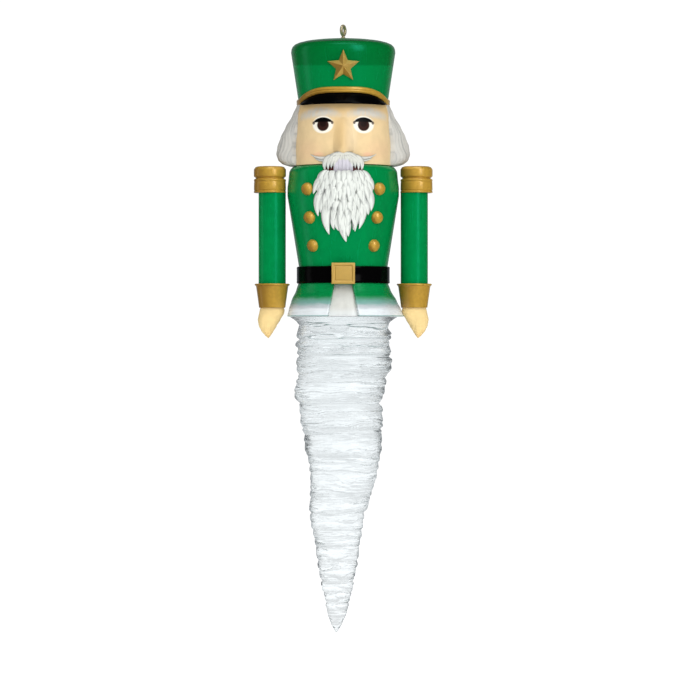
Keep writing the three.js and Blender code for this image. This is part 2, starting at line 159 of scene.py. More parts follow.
class Signal:
    """A number that varies over a surface or the sky. Arithmetic on it adds Math nodes."""

    def __init__(self, paint, socket):
        self.paint = paint
        self.socket = socket

    def math(self, operation, *others):
        return self.paint.math(operation, self, *others)

    def __add__(self, other):
        return self.math("ADD", other)

    def __sub__(self, other):
        return self.math("SUBTRACT", other)

    def __mul__(self, other):
        return self.math("MULTIPLY", other)

    def __truediv__(self, other):
        return self.math("DIVIDE", other)

    def __pow__(self, other):
        return self.math("POWER", other)

    def __rsub__(self, other):
        return self.paint.math("SUBTRACT", other, self)

    def __abs__(self):
        return self.math("ABSOLUTE")

    __radd__ = __add__
    __rmul__ = __mul__

    def fade(self, start, end, low=0.0, high=1.0):
        """From low at start to high at end, smoothly; start may be the larger."""
        settings = {"interpolation_type": "SMOOTHSTEP"}
        sockets = {"Value": self, "From Min": start, "From Max": end, "To Min": low, "To Max": high}
        return Signal(self.paint, self.paint.node("ShaderNodeMapRange", settings, sockets).outputs[0])


class Nodes:
    """The node tree of a material or a world, emptied and then built up by the methods below."""

    def __init__(self, owner):
        owner.use_nodes = True
        self.tree = owner.node_tree
        self.tree.nodes.clear()

    def node(self, kind, settings=None, sockets=None):
        """Adds a node: its settings first, then the values or links of its sockets."""
        made = self.tree.nodes.new(kind)
        for key, value in (settings or {}).items():
            setattr(made, key, value)
        for key, value in (sockets or {}).items():
            source = value.socket if isinstance(value, Signal) else value
            if isinstance(source, bpy.types.NodeSocket):
                self.tree.links.new(source, made.inputs[key])
            else:
                made.inputs[key].default_value = source
        return made

    def parts(self, vector):
        """The three numbers of a vector."""
        outputs = self.node("ShaderNodeSeparateXYZ", {}, {0: vector}).outputs
        return [Signal(self, part) for part in outputs]

    def math(self, operation, *values):
        made = self.node("ShaderNodeMath", {"operation": operation}, dict(enumerate(values)))
        return Signal(self, made.outputs[0])


class Paint(Nodes):
    """A painted finish: a material that reads places in millimetres on the ornament."""

    def __init__(self, name, **shader_sockets):
        self.material = bpy.data.materials.new(name)
        super().__init__(self.material)
        named = {self.label(key): value for key, value in shader_sockets.items()}
        self.shader = self.node("ShaderNodeBsdfPrincipled", {}, named)
        self.output = self.node("ShaderNodeOutputMaterial", {}, {"Surface": self.shader.outputs[0]})
        coordinates = self.node("ShaderNodeTexCoord")
        scaling = {0: coordinates.outputs["Object"], "Scale": 1 / MM}
        self.place = self.node("ShaderNodeVectorMath", {"operation": "SCALE"}, scaling).outputs[0]
        self.x, self.y, self.z = self.parts(self.place)
        self.facing = coordinates.outputs["Normal"]

    @staticmethod
    def label(key):
        """A shader socket's name from a keyword: base_color is Base Color."""
        return key.replace("_", " ").title().replace("Ior", "IOR")

    def noise(self, scale, detail=2.0, stretch=(1.0, 1.0, 1.0)):
        """Soft noise of about 0 to 1; scale counts its features per millimetre."""
        sockets = {0: self.place, 1: stretch}
        stretched = self.node("ShaderNodeVectorMath", {"operation": "MULTIPLY"}, sockets)
        sockets = {"Vector": stretched.outputs[0], "Scale": scale, "Detail": detail}
        return Signal(self, self.node("ShaderNodeTexNoise", {}, sockets).outputs[0])

    def flecks(self, scale):
        """Distance to the nearest of many scattered grains."""
        sockets = {"Vector": self.place, "Scale": scale}
        return Signal(self, self.node("ShaderNodeTexVoronoi", {}, sockets).outputs[0])

    def relief(self):
        """How high the carved surface lies: 0 in a groove, 1 on a ridge."""
        made = self.node("ShaderNodeAttribute", {"attribute_name": "relief"})
        return Signal(self, made.outputs["Fac"])

    def spot(self, across, up, centre, radii, soft=0.06):
        """A painted oval: 1 inside, 0 outside."""
        dx = (across - centre[0]) / radii[0]
        dz = (up - centre[1]) / radii[1]
        return ((dx * dx + dz * dz) ** 0.5).fade(1 + soft, 1 - soft)

    def blend(self, below, above, mask):
        """One colour painted over another through a mask."""
        return self.node("ShaderNodeMix", {"data_type": "RGBA"}, {0: mask, 6: below, 7: above}).outputs[2]

    def feed(self, **sockets):
        """Links varying values to the shader: base_color, roughness, metallic, coat_weight."""
        for key, value in sockets.items():
            source = value.socket if isinstance(value, Signal) else value
            self.tree.links.new(source, self.shader.inputs[self.label(key)])
        return self

    def bump(self, height, depth_mm, strength=1.0):
        """A surface bump; depth_mm is how deep a height of 1 goes."""
        sockets = {"Height": height, "Distance": depth_mm * MM, "Strength": strength}
        self.tree.links.new(
            self.node("ShaderNodeBump", {}, sockets).outputs[0], self.shader.inputs["Normal"]
        )
        return self


# ---------- finishes ----------


def scaled(base, *shares):
    """A colour with its channels multiplied by one share, or by a share each."""
    if len(shares) == 1:
        shares = shares * 3
    return (*[min(1.0, channel * share) for channel, share in zip(base, shares)], 1.0)


def mottled(paint, base, amount, scale=0.5):
    """The base colour, a little darker in soft patches, as brushed enamel dries."""
    return paint.blend(scaled(base, 1 - amount), base, paint.noise(scale, 4.0).fade(0.3, 0.7))


GREEN_GLOSS = {"specular_ior_level": 0.62, "specular_tint": (0.05, 1.0, 0.75, 1.0)}
# Painted reflection: above this level the hat is darker, as if mirroring a dark room; the tilt makes the line
# look level from the front.
HAT_REFLECTION_LEVEL = -10.1
HORIZON_TILT = 0.078
# Painted reflection: how far below the hat's top a dark line runs round the dome's rim.
HAT_RIM_REFLECTION_LINE = -1.5


def green_body(paint):
    """Green enamel: brush mottling, the hat a little darker green, and painted reflections on the hat: darker
    above a horizon line, and a dark line round the dome's rim.
    """
    level = paint.z - paint.y * HORIZON_TILT
    body = mottled(paint, tint("green"), 0.1)
    body = paint.blend(body, scaled(tint("green"), 1.0, 0.86, 0.8), paint.z.fade(HAT_LOW.z - 1, HAT_LOW.z))
    # Painted reflection: the darker green of the hat above its horizon line.
    deep = scaled(tint("green"), 0.8, 0.62, 0.45)
    body = paint.blend(body, deep, level.fade(HAT_REFLECTION_LEVEL - 0.25, HAT_REFLECTION_LEVEL + 0.25))
    # Painted reflection: a dark line round the dome's rim, where the rounded edge mirrors a dark room.
    rim = abs(paint.z - HAT_HIGH.z - HAT_RIM_REFLECTION_LINE).fade(0.3, 0.1)
    return paint.blend(body, scaled(deep, 0.5, 0.45, 0.45), rim * 0.8)


def green_enamel():
    paint = Paint("green_enamel", **GREEN_GLOSS)
    streaks = paint.noise(0.9, 3.0, (1.0, 1.0, 0.12))
    paint.feed(base_color=green_body(paint), roughness=0.2 + streaks * 0.12)
    return paint.bump(paint.noise(1.6, 3.0) + streaks * 0.5, 0.008).material


def gold_paint(name="gold_paint", pale=0.0):
    """Gold paint with scattered bright grains, and painted shade: darker gold on faces turned down or to the
    left.
    """
    paint = Paint(name, specular_ior_level=0.7, coat_weight=0.6, coat_roughness=0.16)
    across, _, up = paint.parts(paint.facing)
    # Painted shade: faces turned down or to the left, away from the light, take the darker gold.
    shade_turned_away = (up * 0.6 + across * 0.9).fade(-0.05, -0.7)
    grain = paint.flecks(7.0)
    patches = paint.noise(1.3, 4.0).fade(0.35, 0.65)
    body = paint.blend(tint("gold_shade"), tint("gold"), 0.8 + patches * 0.2)
    # Painted highlight: this share of the paler gold is laid over the whole piece.
    body = paint.blend(body, tint("gold_highlit"), pale)
    body = paint.blend(body, tint("gold_shade"), shade_turned_away * 0.8)
    sparkle = grain.fade(0.35, 0.05) * 0.2
    paint.feed(
        base_color=paint.blend(body, scaled(tint("gold"), 1.4), sparkle),
        metallic=0.32 + sparkle * 0.5,
        roughness=0.32 + paint.noise(2.5, 2.0) * 0.1,
    )
    return paint.bump(grain * 0.25 + paint.noise(1.4, 3.0), 0.012).material


# Painted highlight: the buckle and the star get paler gold in place of their soft highlight.
def highlit_gold():
    return gold_paint("highlit_gold", 0.6)


def black_enamel():
    paint = Paint("black_enamel", specular_ior_level=0.04)
    dust = paint.noise(3.0, 4.0).fade(0.62, 0.85)
    dusty = scaled(tint("black"), 5)
    paint.feed(base_color=paint.blend(tint("black"), dusty, dust), roughness=0.16 + dust * 0.2)
    return paint.bump(paint.noise(1.3, 3.0), 0.01).material


def wire_brass():
    paint = Paint("wire_brass", metallic=0.55)
    tarnish = paint.noise(1.8, 4.0).fade(0.45, 0.75)
    dull = scaled(tint("brass"), 0.45)
    paint.feed(base_color=paint.blend(tint("brass"), dull, tarnish), roughness=0.22 + tarnish * 0.25)
    return paint.bump(paint.noise(4.0, 2.0, (1.0, 1.0, 0.2)), 0.006).material


EYE_LEVEL = -26.45
BROW_LEVEL = -23.1


def face_paint():
    """Skin with painted eyes, lids, lashes, brows and cheeks, all on the front of the head, and painted
    light: shade at the top of the face and on the nose's left flank, a highlight on its right flank.
    """
    paint = Paint("face_paint", specular_ior_level=0.2)
    side, up = abs(paint.x), paint.z
    front = paint.y.fade(-4.0, -6.0)
    spread, eye_w, eye_h = mm("eye_spread"), mm("eye_width"), mm("eye_height")

    def painted(below, above, mask):
        return paint.blend(below, above, mask * front)

    def pair(centre, radii, soft):
        return paint.spot(side, up, centre, radii, soft)

    base, cream = tint("skin"), (0.90, 0.85, 0.74, 1.0)
    deeper = scaled(base, 0.86, 0.76, 0.56)
    skin = mottled(paint, base, 0.08, 0.35)
    # Painted shade: the skin darker towards the top of the face, under the visor.
    skin = paint.blend(skin, deeper, up.fade(-24.6, -21.4) * 0.6)
    # Painted shade on the nose's left flank, and a painted highlight on its right flank.
    skin = painted(skin, deeper, paint.spot(paint.x, up, (-0.7, -29.0), (1.9, 5.4), 0.7) * 0.5)
    skin = painted(skin, cream, paint.spot(paint.x, up, (2.0, -29.6), (1.5, 4.6), 0.7) * 0.12)
    skin = painted(skin, tint("blush"), pair((9.0, -33.2), (3.0, 2.4), 0.85) * 0.14)
    skin = painted(skin, tint("blush"), pair((6.4, -34.3), (1.2, 0.6), 0.7) * 0.4)

    hairs = paint.noise(1.5, 3.0, (1.0, 1.0, 0.35)).fade(0.3, 0.6)
    arch = up + (side - 5.6) * (side - 5.6) * 0.035
    brow = paint.spot(side, arch, (6.4, BROW_LEVEL), (5.0, 1.2), 0.5) * (0.5 + hairs * 0.4)
    skin = painted(skin, tint("silver"), brow)

    white = pair((spread, EYE_LEVEL), (eye_w, eye_h), 0.1)
    coloured = painted(skin, cream, white)
    coloured = painted(coloured, tint("iris"), pair((spread, EYE_LEVEL - 0.12), (1.52, 1.56), 0.09))
    coloured = painted(coloured, tint("black"), pair((spread, EYE_LEVEL + 0.25), (0.85, 0.85), 0.2) * 0.6)
    lid_line = up + (side - spread) * (side - spread) * 0.10
    lid = paint.spot(side, lid_line, (spread, EYE_LEVEL + 1.34), (2.45, 0.58), 0.12)
    coloured = painted(coloured, tint("black"), lid)
    lash = paint.spot(abs(side - spread), up, (2.42, EYE_LEVEL + 0.5), (0.34, 0.42), 0.25) * 0.85
    coloured = painted(coloured, tint("iris"), lash)

    paint.feed(base_color=coloured, roughness=0.42 + paint.noise(1.2, 3.0) * 0.1)
    return paint.bump(paint.noise(1.1, 4.0) + white * 0.6, 0.01).material


def hand_paint():
    paint = Paint("hand_paint", specular_ior_level=0.3)
    tip = scaled(tint("hand"), 0.93, 0.83, 0.72)
    near_tip = paint.z.fade(HAND_LOW.z + 3.0, HAND_LOW.z)
    body = paint.blend(mottled(paint, tint("hand"), 0.08, 0.6), tip, near_tip * 0.7)
    paint.feed(base_color=body, roughness=0.42 + paint.noise(1.2, 3.0) * 0.12)
    return paint.bump(paint.noise(1.2, 4.0), 0.014).material


def carved_hair(name, body, smoke=0.0):
    """Paint over carved strands, painted shade in grey down the grooves, and smokier above the lip."""
    paint = Paint(name, specular_ior_level=0.4, coat_weight=0.1, coat_roughness=0.25)
    fine = paint.noise(2.2, 3.0, (1.0, 1.0, 0.16))
    height = (paint.relief() + (fine - 0.5) * 0.4).fade(0.05, 0.75)
    body = paint.blend(mottled(paint, body, 0.06, 0.7), tint("smoke"), paint.z.fade(-37.6, -36.2) * smoke)
    paint.feed(
        # Painted shade: grey in the grooves, the full paint colour only on the ridges.
        base_color=paint.blend(tint("groove_shade"), body, height * 0.85 + 0.15),
        roughness=0.40 + fine * 0.18,
    )
    return paint.bump(fine, 0.03).material


def silver_hair():
    return carved_hair("silver_hair", tint("silver"))


def white_beard():
    return carved_hair("white_beard", tint("white"), 0.8)


def tooth_white():
    paint = Paint("tooth_white", specular_ior_level=0.5, coat_weight=0.3, coat_roughness=0.1)
    # Darker towards the bottom of the teeth.
    lower_darkening = paint.z.fade(-38.2, -39.3) * 0.4
    paint.feed(
        base_color=paint.blend(mottled(paint, tint("tooth"), 0.08, 1.2), scaled(tint("tooth"), 0.72), lower_darkening),
        roughness=0.25 + paint.noise(2.0) * 0.1,
    )
    return paint.bump(paint.noise(1.5, 3.0), 0.01).material


def lip_red():
    paint = Paint("lip_red", specular_ior_level=0.4)
    paint.feed(base_color=mottled(paint, tint("lip"), 0.4, 0.9), roughness=0.4 + paint.noise(1.5) * 0.15)
    return paint.bump(paint.noise(1.5, 3.0), 0.015).material


def pearl_paint():
    paint = Paint("pearl_paint", specular_ior_level=0.5, coat_weight=0.3, coat_roughness=0.12)
    top, foot = SKIRT_HIGH.z, SKIRT_LOW.z
    shade = scaled(tint("pearl"), 0.74)
    body = paint.blend(mottled(paint, tint("pearl"), 0.07, 0.8), shade, paint.z.fade(foot + 3.0, top) * 0.6)
    paint.feed(
        base_color=paint.blend(body, tint("snow"), paint.z.fade(foot + 2.6, foot + 0.4) * 0.55),
        roughness=0.3 + paint.noise(1.2, 3.0) * 0.12,
    )
    return paint.bump(paint.noise(0.9, 4.0), 0.02).material


# Where each tone of the skirt's fade starts and is full.
TEAL_LEVELS = (-70.9, -72.9)
FROST_LEVELS = (-72.7, -73.9)
SNOW_LEVELS = (-73.9, -74.8)


def skirt_fade():
    """Green enamel that fades through teal and silver frost to snow white at the hem."""
    paint = Paint("skirt_fade", specular_ior_level=0.5, specular_tint=(0.5, 0.95, 1.0, 1.0))
    brushed = paint.noise(0.8, 4.0, (0.35, 0.35, 2.2))
    edge = paint.z + (brushed - 0.5) * 1.3
    teal = (0.19, 0.38, 0.335, 1.0)
    body = paint.blend(mottled(paint, tint("green"), 0.1), teal, edge.fade(*TEAL_LEVELS))
    body = paint.blend(body, tint("frost"), edge.fade(*FROST_LEVELS))
    body = paint.blend(body, tint("snow"), edge.fade(*SNOW_LEVELS))
    foot = SKIRT_LOW.z
    body = paint.blend(body, scaled(teal, 0.6, 0.8, 0.8), paint.z.fade(foot + 0.4, foot + 0.12) * 0.75)
    sparkle = paint.flecks(5.0).fade(0.3, 0.05) * edge.fade(-71.0, -73.0)
    paint.feed(base_color=body, roughness=0.2 + brushed * 0.15, metallic=sparkle * 0.25)
    return paint.bump(brushed + sparkle * 0.5, 0.016).material


def clear_ice():
    """See-through moulded ice: plain transmission, refraction and a faint blue absorption."""
    paint = Paint("clear_ice", transmission_weight=1.0, ior=1.36, specular_ior_level=0.5)
    paint.shader.inputs["Base Color"].default_value = (1.0, 1.0, 1.0, 1.0)
    haze = paint.noise(0.6, 4.0, (1.0, 1.0, 2.5)).fade(0.4, 0.8)
    paint.feed(roughness=0.14 + haze * 0.14)
    depth = paint.node("ShaderNodeVolumeAbsorption", {}, {"Color": tint("ice"), "Density": 16.0})
    paint.tree.links.new(depth.outputs[0], paint.output.inputs["Volume"])
    ripples = paint.noise(0.3, 2.0, (0.4, 0.4, 3.0)) + paint.noise(1.2, 2.0, (0.3, 0.3, 2.0)) * 0.12
    return paint.bump(ripples, 0.3).material


MAKERS = {
    "eye_wire": wire_brass,
    "green_enamel": green_enamel,
    "gold_paint": gold_paint,
    "highlit_gold": highlit_gold,
    "black_enamel": black_enamel,
    "face_paint": face_paint,
    "hand_paint": hand_paint,
    "silver_hair": silver_hair,
    "white_beard": white_beard,
    "teeth_white": tooth_white,
    "lip_red": lip_red,
    "pearl_paint": pearl_paint,
    "coat_skirt_fade": skirt_fade,
    "clear_ice": clear_ice,
}
FINISHES = {}


def finish_named(name):
    """A finish by its name, made when it is first asked for."""
    if name not in FINISHES:
        FINISHES[name] = MAKERS[name]()
    return FINISHES[name]


# ---------- modelling helpers ----------


def clear_selection():
    """Back to object mode with nothing selected."""
    if bpy.context.object and bpy.context.object.mode != "OBJECT":
        bpy.ops.object.mode_set(mode="OBJECT")
    bpy.ops.object.select_all(action="DESELECT")


def name_new(name):
    """Names the object that was just added."""
    piece = bpy.context.object
    piece.name = name
    piece.data.name = name
    return piece


def pick(*pieces):
    """Selects these pieces only; the first is the active one."""
    clear_selection()
    for piece in pieces:
        piece.select_set(True)
    bpy.context.view_layer.objects.active = pieces[0]


def edit_all(piece):
    """Opens one piece in edit mode with everything selected."""
    pick(piece)
    bpy.ops.object.mode_set(mode="EDIT")
    bpy.ops.mesh.select_all(action="SELECT")


def edit_faces(piece, rule):
    """Opens one piece in edit mode with the faces chosen whose normal the rule accepts."""
    edit_all(piece)
    bpy.ops.mesh.select_all(action="DESELECT")
    bpy.ops.object.mode_set(mode="OBJECT")
    for face in piece.data.polygons:
        face.select = rule(face.normal)
    bpy.ops.object.mode_set(mode="EDIT")


def close_up():
    """Merges doubles, turns the faces outward and leaves edit mode."""
    bpy.ops.mesh.select_all(action="SELECT")
    bpy.ops.mesh.remove_doubles(threshold=0.0005 * MM)
    bpy.ops.mesh.normals_make_consistent(inside=False)
    bpy.ops.object.mode_set(mode="OBJECT")


def spun(name, outline, steps):
    """A turned piece: an outline of (radius, height) points spun round the upright axis."""
    clear_selection()
    bpy.ops.mesh.primitive_plane_add(size=MM)
    piece = name_new(name)
    edit_all(piece)
    bpy.ops.mesh.merge(type="CENTER")
    reached = Vector((0.0, 0.0, 0.0))
    for count, (radius, height) in enumerate(outline):
        step = Vector((radius, 0.0, height)) * MM - reached
        reached += step
        if count == 0:
            bpy.ops.transform.translate(value=step)
        else:
            bpy.ops.mesh.extrude_region_move(TRANSFORM_OT_translate={"value": step})
    bpy.ops.mesh.select_all(action="SELECT")
    bpy.ops.mesh.spin(steps=steps, angle=math.tau, center=(0, 0, 0), axis=(0, 0, 1))
    close_up()
    return piece


def block(name, across, along, place):
    """A closed slab of cells, each corner carried to place(u, v, w) with u, v and w from 0 to 1."""
    clear_selection()
    bpy.ops.mesh.primitive_grid_add(x_subdivisions=across, y_subdivisions=along, size=1)
    piece = name_new(name)
    edit_all(piece)
    bpy.ops.mesh.extrude_region_move(TRANSFORM_OT_translate={"value": (0, 0, 1)})
    bpy.ops.object.mode_set(mode="OBJECT")
    for vertex in piece.data.vertices:
        vertex.co = Vector(place(vertex.co.x + 0.5, vertex.co.y + 0.5, vertex.co.z)) * MM
    edit_all(piece)
    close_up()
    return piece


def reshape(piece, rule):
    """Moves every vertex to where the rule sends it, both in millimetres."""
    for vertex in piece.data.vertices:
        vertex.co = Vector(rule(vertex.co / MM)) * MM
    piece.data.update()
    return piece


def mark_relief(piece, rule):
    """Notes at each vertex how high the carving lies there."""
    relief = piece.data.attributes.new("relief", "FLOAT", "POINT")
    for vertex, value in zip(piece.data.vertices, relief.data):
        value.value = rule(vertex.co / MM)
    return piece


def carve(piece, rule):
    """Pushes each vertex along its normal by rule(place) millimetres."""
    pushes = [rule(vertex.co / MM) * MM for vertex in piece.data.vertices]
    normals = [vertex.normal.copy() for vertex in piece.data.vertices]
    for vertex, push, normal in zip(piece.data.vertices, pushes, normals):
        vertex.co += normal * push
    piece.data.update()
    return piece


def modify(piece, kind, **settings):
    """Adds a modifier and applies it."""
    pick(piece)
    modifier = piece.modifiers.new(kind.title(), kind)
    for key, value in settings.items():
        setattr(modifier, key, value)
    bpy.ops.object.modifier_apply(modifier=modifier.name)
    return piece


def eased(piece, width, segments=3, sharper_than=28):
    """Rounds the hard edges of a piece by a width in millimetres."""
    return modify(
        piece, "BEVEL", width=width * MM, segments=segments, limit_method="ANGLE",
        angle_limit=math.radians(sharper_than), harden_normals=False,
    )


def smooth(piece, angle=38):
    """Smooth shading, with edges sharper than the angle kept crisp."""
    pick(piece)
    bpy.ops.object.shade_smooth_by_angle(angle=math.radians(angle))
    return piece


def joined(pieces, name):
    """Joins several pieces into one and names it."""
    pick(*pieces)
    bpy.ops.object.join()
    return name_new(name)


def copied(piece, name, matrix, flip=False):
    """A copy with its own mesh, carried by a matrix; flip turns its faces back after a mirror."""
    twin = piece.copy()
    twin.data = piece.data.copy()
    twin.name = name
    twin.data.name = name
    bpy.context.scene.collection.objects.link(twin)
    twin.data.transform(matrix)
    if flip:
        twin.data.flip_normals()
    return twin


MIRROR = Matrix.Scale(-1, 4, (1, 0, 0))


def fit(piece, slot, *nodes, finish=None):
    """Paints a piece and fits it to the frame in place of its nodes."""
    piece.data.materials.clear()
    piece.data.materials.append(finish_named(finish or slot))
    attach(piece, BODY)
    if nodes:
        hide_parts(*nodes)
    return piece


def mix(first, second, share):
    return first + (second - first) * share


def soft_step(value, start, end):
    """0 before start and 1 after end, smoothly."""
    share = min(max((value - start) / (end - start), 0.0), 1.0)
    return share * share * (3 - 2 * share)


def along(stations, position):
    """A smooth value at a position, through (position, value) stations in rising or falling order."""
    if stations[0][0] > stations[-1][0]:
        stations = stations[::-1]
    if position <= stations[0][0]:
        return stations[0][1]
    for before, after in zip(stations, stations[1:]):
        if position <= after[0]:
            share = (position - before[0]) / (after[0] - before[0])
            return mix(before[1], after[1], 0.6 * share + 0.4 * soft_step(share, 0, 1))
    return stations[-1][1]


def arc(centre, radius, start, end, count):
    """Outline points on an arc, angles in degrees from the outward direction."""
    angles = [math.radians(mix(start, end, i / count)) for i in range(count + 1)]
    return [(centre[0] + radius * math.cos(a), centre[1] + radius * math.sin(a)) for a in angles]


def around(angle, radius, height):
    """A point round the body: angle 0 is the front and a quarter turn is +X."""
    return radius * math.sin(angle), -radius * math.cos(angle), height


def front_depth(radius, side):
    """The Y of a round front of this radius at this distance to the side."""
    return -math.sqrt(max(radius * radius - side * side, 0.0))


# ---------- hat ----------

HAT_DOME = [(0.0, -0.2), (0.35, -0.3), (0.57, -0.58), (0.73, -0.87), (0.845, -1.25), (0.925, -1.7),
            (0.968, -2.25), (0.992, -2.9), (1.0, -3.8)]
HAT_RIM_Z = HAT_HIGH.z + HAT_DOME[-1][1]
BAND_Z = -20.0
BAND_RISE = 2.65
ARCH_END = math.radians(74)


def hat_side(height):
    """Radius of the hat's flaring side."""
    share = min(max((height - HAT_LOW.z) / (HAT_RIM_Z - HAT_LOW.z), 0.0), 1.0)
    return mix(mm("hat_foot"), mm("hat_rim"), share)


def band_rise(angle):
    """How far the band arches up over the visor at an angle round the hat."""
    if math.cos(angle) < math.cos(ARCH_END):
        return 0.0
    return BAND_RISE * (1 - (math.sin(angle) / math.sin(ARCH_END)) ** 4)


class ORNAMENT_OT_hat(bpy.types.Operator):
    """Build the green hat, its gold band, black visor and raised star"""

    bl_idname = "ornament.hat"
    bl_label = "Hat"

    def execute(self, context):
        foot, top, rim_r = HAT_LOW.z - 0.2, HAT_HIGH.z, mm("hat_rim")
        sides = [(hat_side(mix(foot, HAT_RIM_Z, i / 14)), mix(foot, HAT_RIM_Z, i / 14)) for i in range(15)]
        shares = [math.cos(i / 40 * math.pi / 2) for i in range(1, 40)] + [0.0]
        dome = [(rim_r * share, top + along(HAT_DOME, share)) for share in shares]
        crown = spun("hat_shell", [(0, foot), *sides, *dome], 128)
        fit(smooth(crown, 60), "green_enamel", "hat_crown")

        half = mm("band_height") / 2
        foot_r = mm("hat_foot")
        bead = [(foot_r - 0.2, -half), (foot_r + 0.35, -half), (foot_r + 0.62, -half * 0.75),
                (foot_r + 0.7, -half * 0.3), (foot_r + 0.55, -half * 0.12), (foot_r + 0.72, half * 0.2),
                (foot_r + 0.62, half * 0.75), (foot_r + 0.35, half), (foot_r - 0.2, half),
                (foot_r - 0.2, -half)]
        band = spun("hat_gold_band", bead, 160)

        def arched(spot):
            angle = math.atan2(spot.x, -spot.y)
            rise = band_rise(angle)
            swell = 1 + 0.034 * rise / BAND_RISE
            return spot.x * swell, spot.y * swell, spot.z + BAND_Z + rise

        fit(smooth(eased(reshape(band, arched), 0.08, 2), 50), "gold_paint", "hat_band")

        spread = math.radians(67)
        rim_level = -20.65

        def peak(u, v, w):
            angle = mix(-spread, spread, u)
            bulge = math.cos(angle / spread * math.pi / 2)
            reach = mix(0.5, 2.55, bulge)
            start = BAND_Z + band_rise(angle) - half + 0.2
            level = mix(start, rim_level, v ** 1.15)
            thick = min(0.55, 0.2 + bulge)
            return around(angle, foot_r + 0.3 + reach * v, level - (1 - w) * thick)

        visor = block("hat_peak", 96, 14, peak)
        fit(smooth(eased(visor, 0.14)), "black_enamel", "visor")

        # The star's paler gold is a painted highlight.
        fit(self.star(), "gold_paint", "hat_star", finish="highlit_gold")
        return {"FINISHED"}

    def star(self):
        """A five-pointed star with ridged arms, laid on the hat's curved front."""
        clear_selection()
        radius, peak = mm("star_radius"), 2.5
        bpy.ops.mesh.primitive_cone_add(
            vertices=10, radius1=radius * MM, radius2=0, depth=peak * MM, location=(0, 0, peak / 2 * MM)
        )
        bpy.ops.object.transform_apply(location=True)
        star = name_new("hat_gold_star")
        notch = 0.45

        def notched(spot):
            turn = round(math.atan2(spot.x, spot.y) / (math.pi / 5))
            pull = notch if turn % 2 and spot.xy.length > 0.1 else 1.0
            return spot.x * pull, spot.y * pull, spot.z

        reshape(star, notched)
        edit_faces(star, lambda normal: normal.z < -0.9)
        bpy.ops.mesh.extrude_region_move(TRANSFORM_OT_translate={"value": (0, 0, -0.55 * MM)})
        bpy.ops.object.mode_set(mode="OBJECT")
        eased(star, 0.1, 2, 12)
        edit_all(star)
        bpy.ops.mesh.quads_convert_to_tris()
        bpy.ops.mesh.subdivide(number_cuts=3)
        bpy.ops.object.mode_set(mode="OBJECT")
        middle = -11.4

        def pinned(spot):
            height = middle + spot.y
            return spot.x, front_depth(hat_side(height) + 0.45, spot.x) - spot.z, height

        reshape(star, pinned)
        edit_all(star)
        close_up()
        return smooth(star, 18)


class ORNAMENT_OT_hanging_eye(bpy.types.Operator):
    """Build the brass wire eye, its stem and stepped collar"""

    bl_idname = "ornament.hanging_eye"
    bl_label = "Hanging eye"

    def execute(self, context):
        low, high = box_mm("hanging_eye")
        wire, ring = 0.42, 1.21
        clear_selection()
        bpy.ops.mesh.primitive_torus_add(
            major_radius=ring * MM, minor_radius=wire * MM, major_segments=72, minor_segments=20
        )
        loop = name_new("eye_loop")
        upright = Matrix.Rotation(math.radians(66), 4, "Z") @ Matrix.Rotation(math.pi / 2, 4, "X")
        loop.data.transform(Matrix.Translation((0, 0, (high.z - ring - wire) * MM)) @ upright)
        foot = HAT_HIGH.z - 0.1
        stem_top = high.z - 2 * ring - wire
        stem = spun("eye_stem", [
            (0, foot), (0.72, foot), (0.72, foot + 0.16), (0.6, foot + 0.26), (0.5, foot + 0.42),
            (0.42, foot + 0.5), (0.4, stem_top), (0.2, stem_top + 0.1), (0, stem_top + 0.1)], 40)
        eye = joined([loop, stem], "eye_ring")
        fit(smooth(eye, 45), "eye_wire", "hanging_eye")
        return {"FINISHED"}


# ---------- head ----------


def head_radius(height):
    return along([(-20.6, 11.8), (-24, 12.35), (-27, 12.7), (-36.9, 13.05)], height)


class ORNAMENT_OT_face(bpy.types.Operator):
    """Build the head with its brow and eye relief, and the long rounded nose"""

    bl_idname = "ornament.face"
    bl_label = "Face"

    def execute(self, context):
        top, foot = HEAD_HIGH.z + 0.3, HEAD_LOW.z - 0.1
        side = [(head_radius(mix(foot, top, i / 60)), mix(foot, top, i / 60)) for i in range(61)]
        head = spun("face_block", [(0, foot), *side, (0, top)], 180)

        def features(spot):
            if spot.y > -4:
                return 0.0
            off = abs(spot.x) - 5.4
            brow = math.exp(-((off / 2.6) ** 2) - ((spot.z - BROW_LEVEL + off * off * 0.05) / 0.75) ** 2)
            lid = math.exp(-((off / 2.2) ** 4) - ((spot.z - EYE_LEVEL) / 1.9) ** 4)
            cheek = math.exp(-(((abs(spot.x) - 6.6) / 2.8) ** 2) - ((spot.z + 32.6) / 2.2) ** 2)
            return 0.28 * brow + 0.1 * lid + 0.22 * cheek

        carve(head, features)
        fit(smooth(head), "face_paint", "head")

        top_z, low_z = -24.4, -34.1

        def nose(u, v, w):
            height = mix(low_z, top_z, v)
            half = along([(0, 2.4), (0.08, 3.0), (0.3, 3.1), (0.8, 2.5), (1, 1.8)], v)
            rise = along([(0, 1.5), (0.06, 2.3), (0.16, 2.6), (0.6, 1.3), (1, 0.08)], v)
            aside = 2 * u - 1
            x = half * aside
            bulge = rise * mix(1 - abs(aside), math.cos(aside * math.pi / 2) ** 2, 0.7) - 0.08
            return x, front_depth(head_radius(height), x) - mix(-0.6, bulge, w), height

        fit(smooth(block("face_nose", 28, 40, nose), 60), "face_paint", "nose")
        return {"FINISHED"}


WIG_EDGE = math.radians(73)


def wig_bell(height):
    """Outer radius of the wig at each height."""
    full = mm("wig_radius")
    return along([(-20.8, 12.2), (-23.4, 13.4), (-26.6, 15.2), (-29, 16.4), (-31.5, full - 0.25),
                  (-33.6, full), (-35.2, full - 0.5), (-36.2, full - 1.6), (-36.7, full - 3.2)], height)


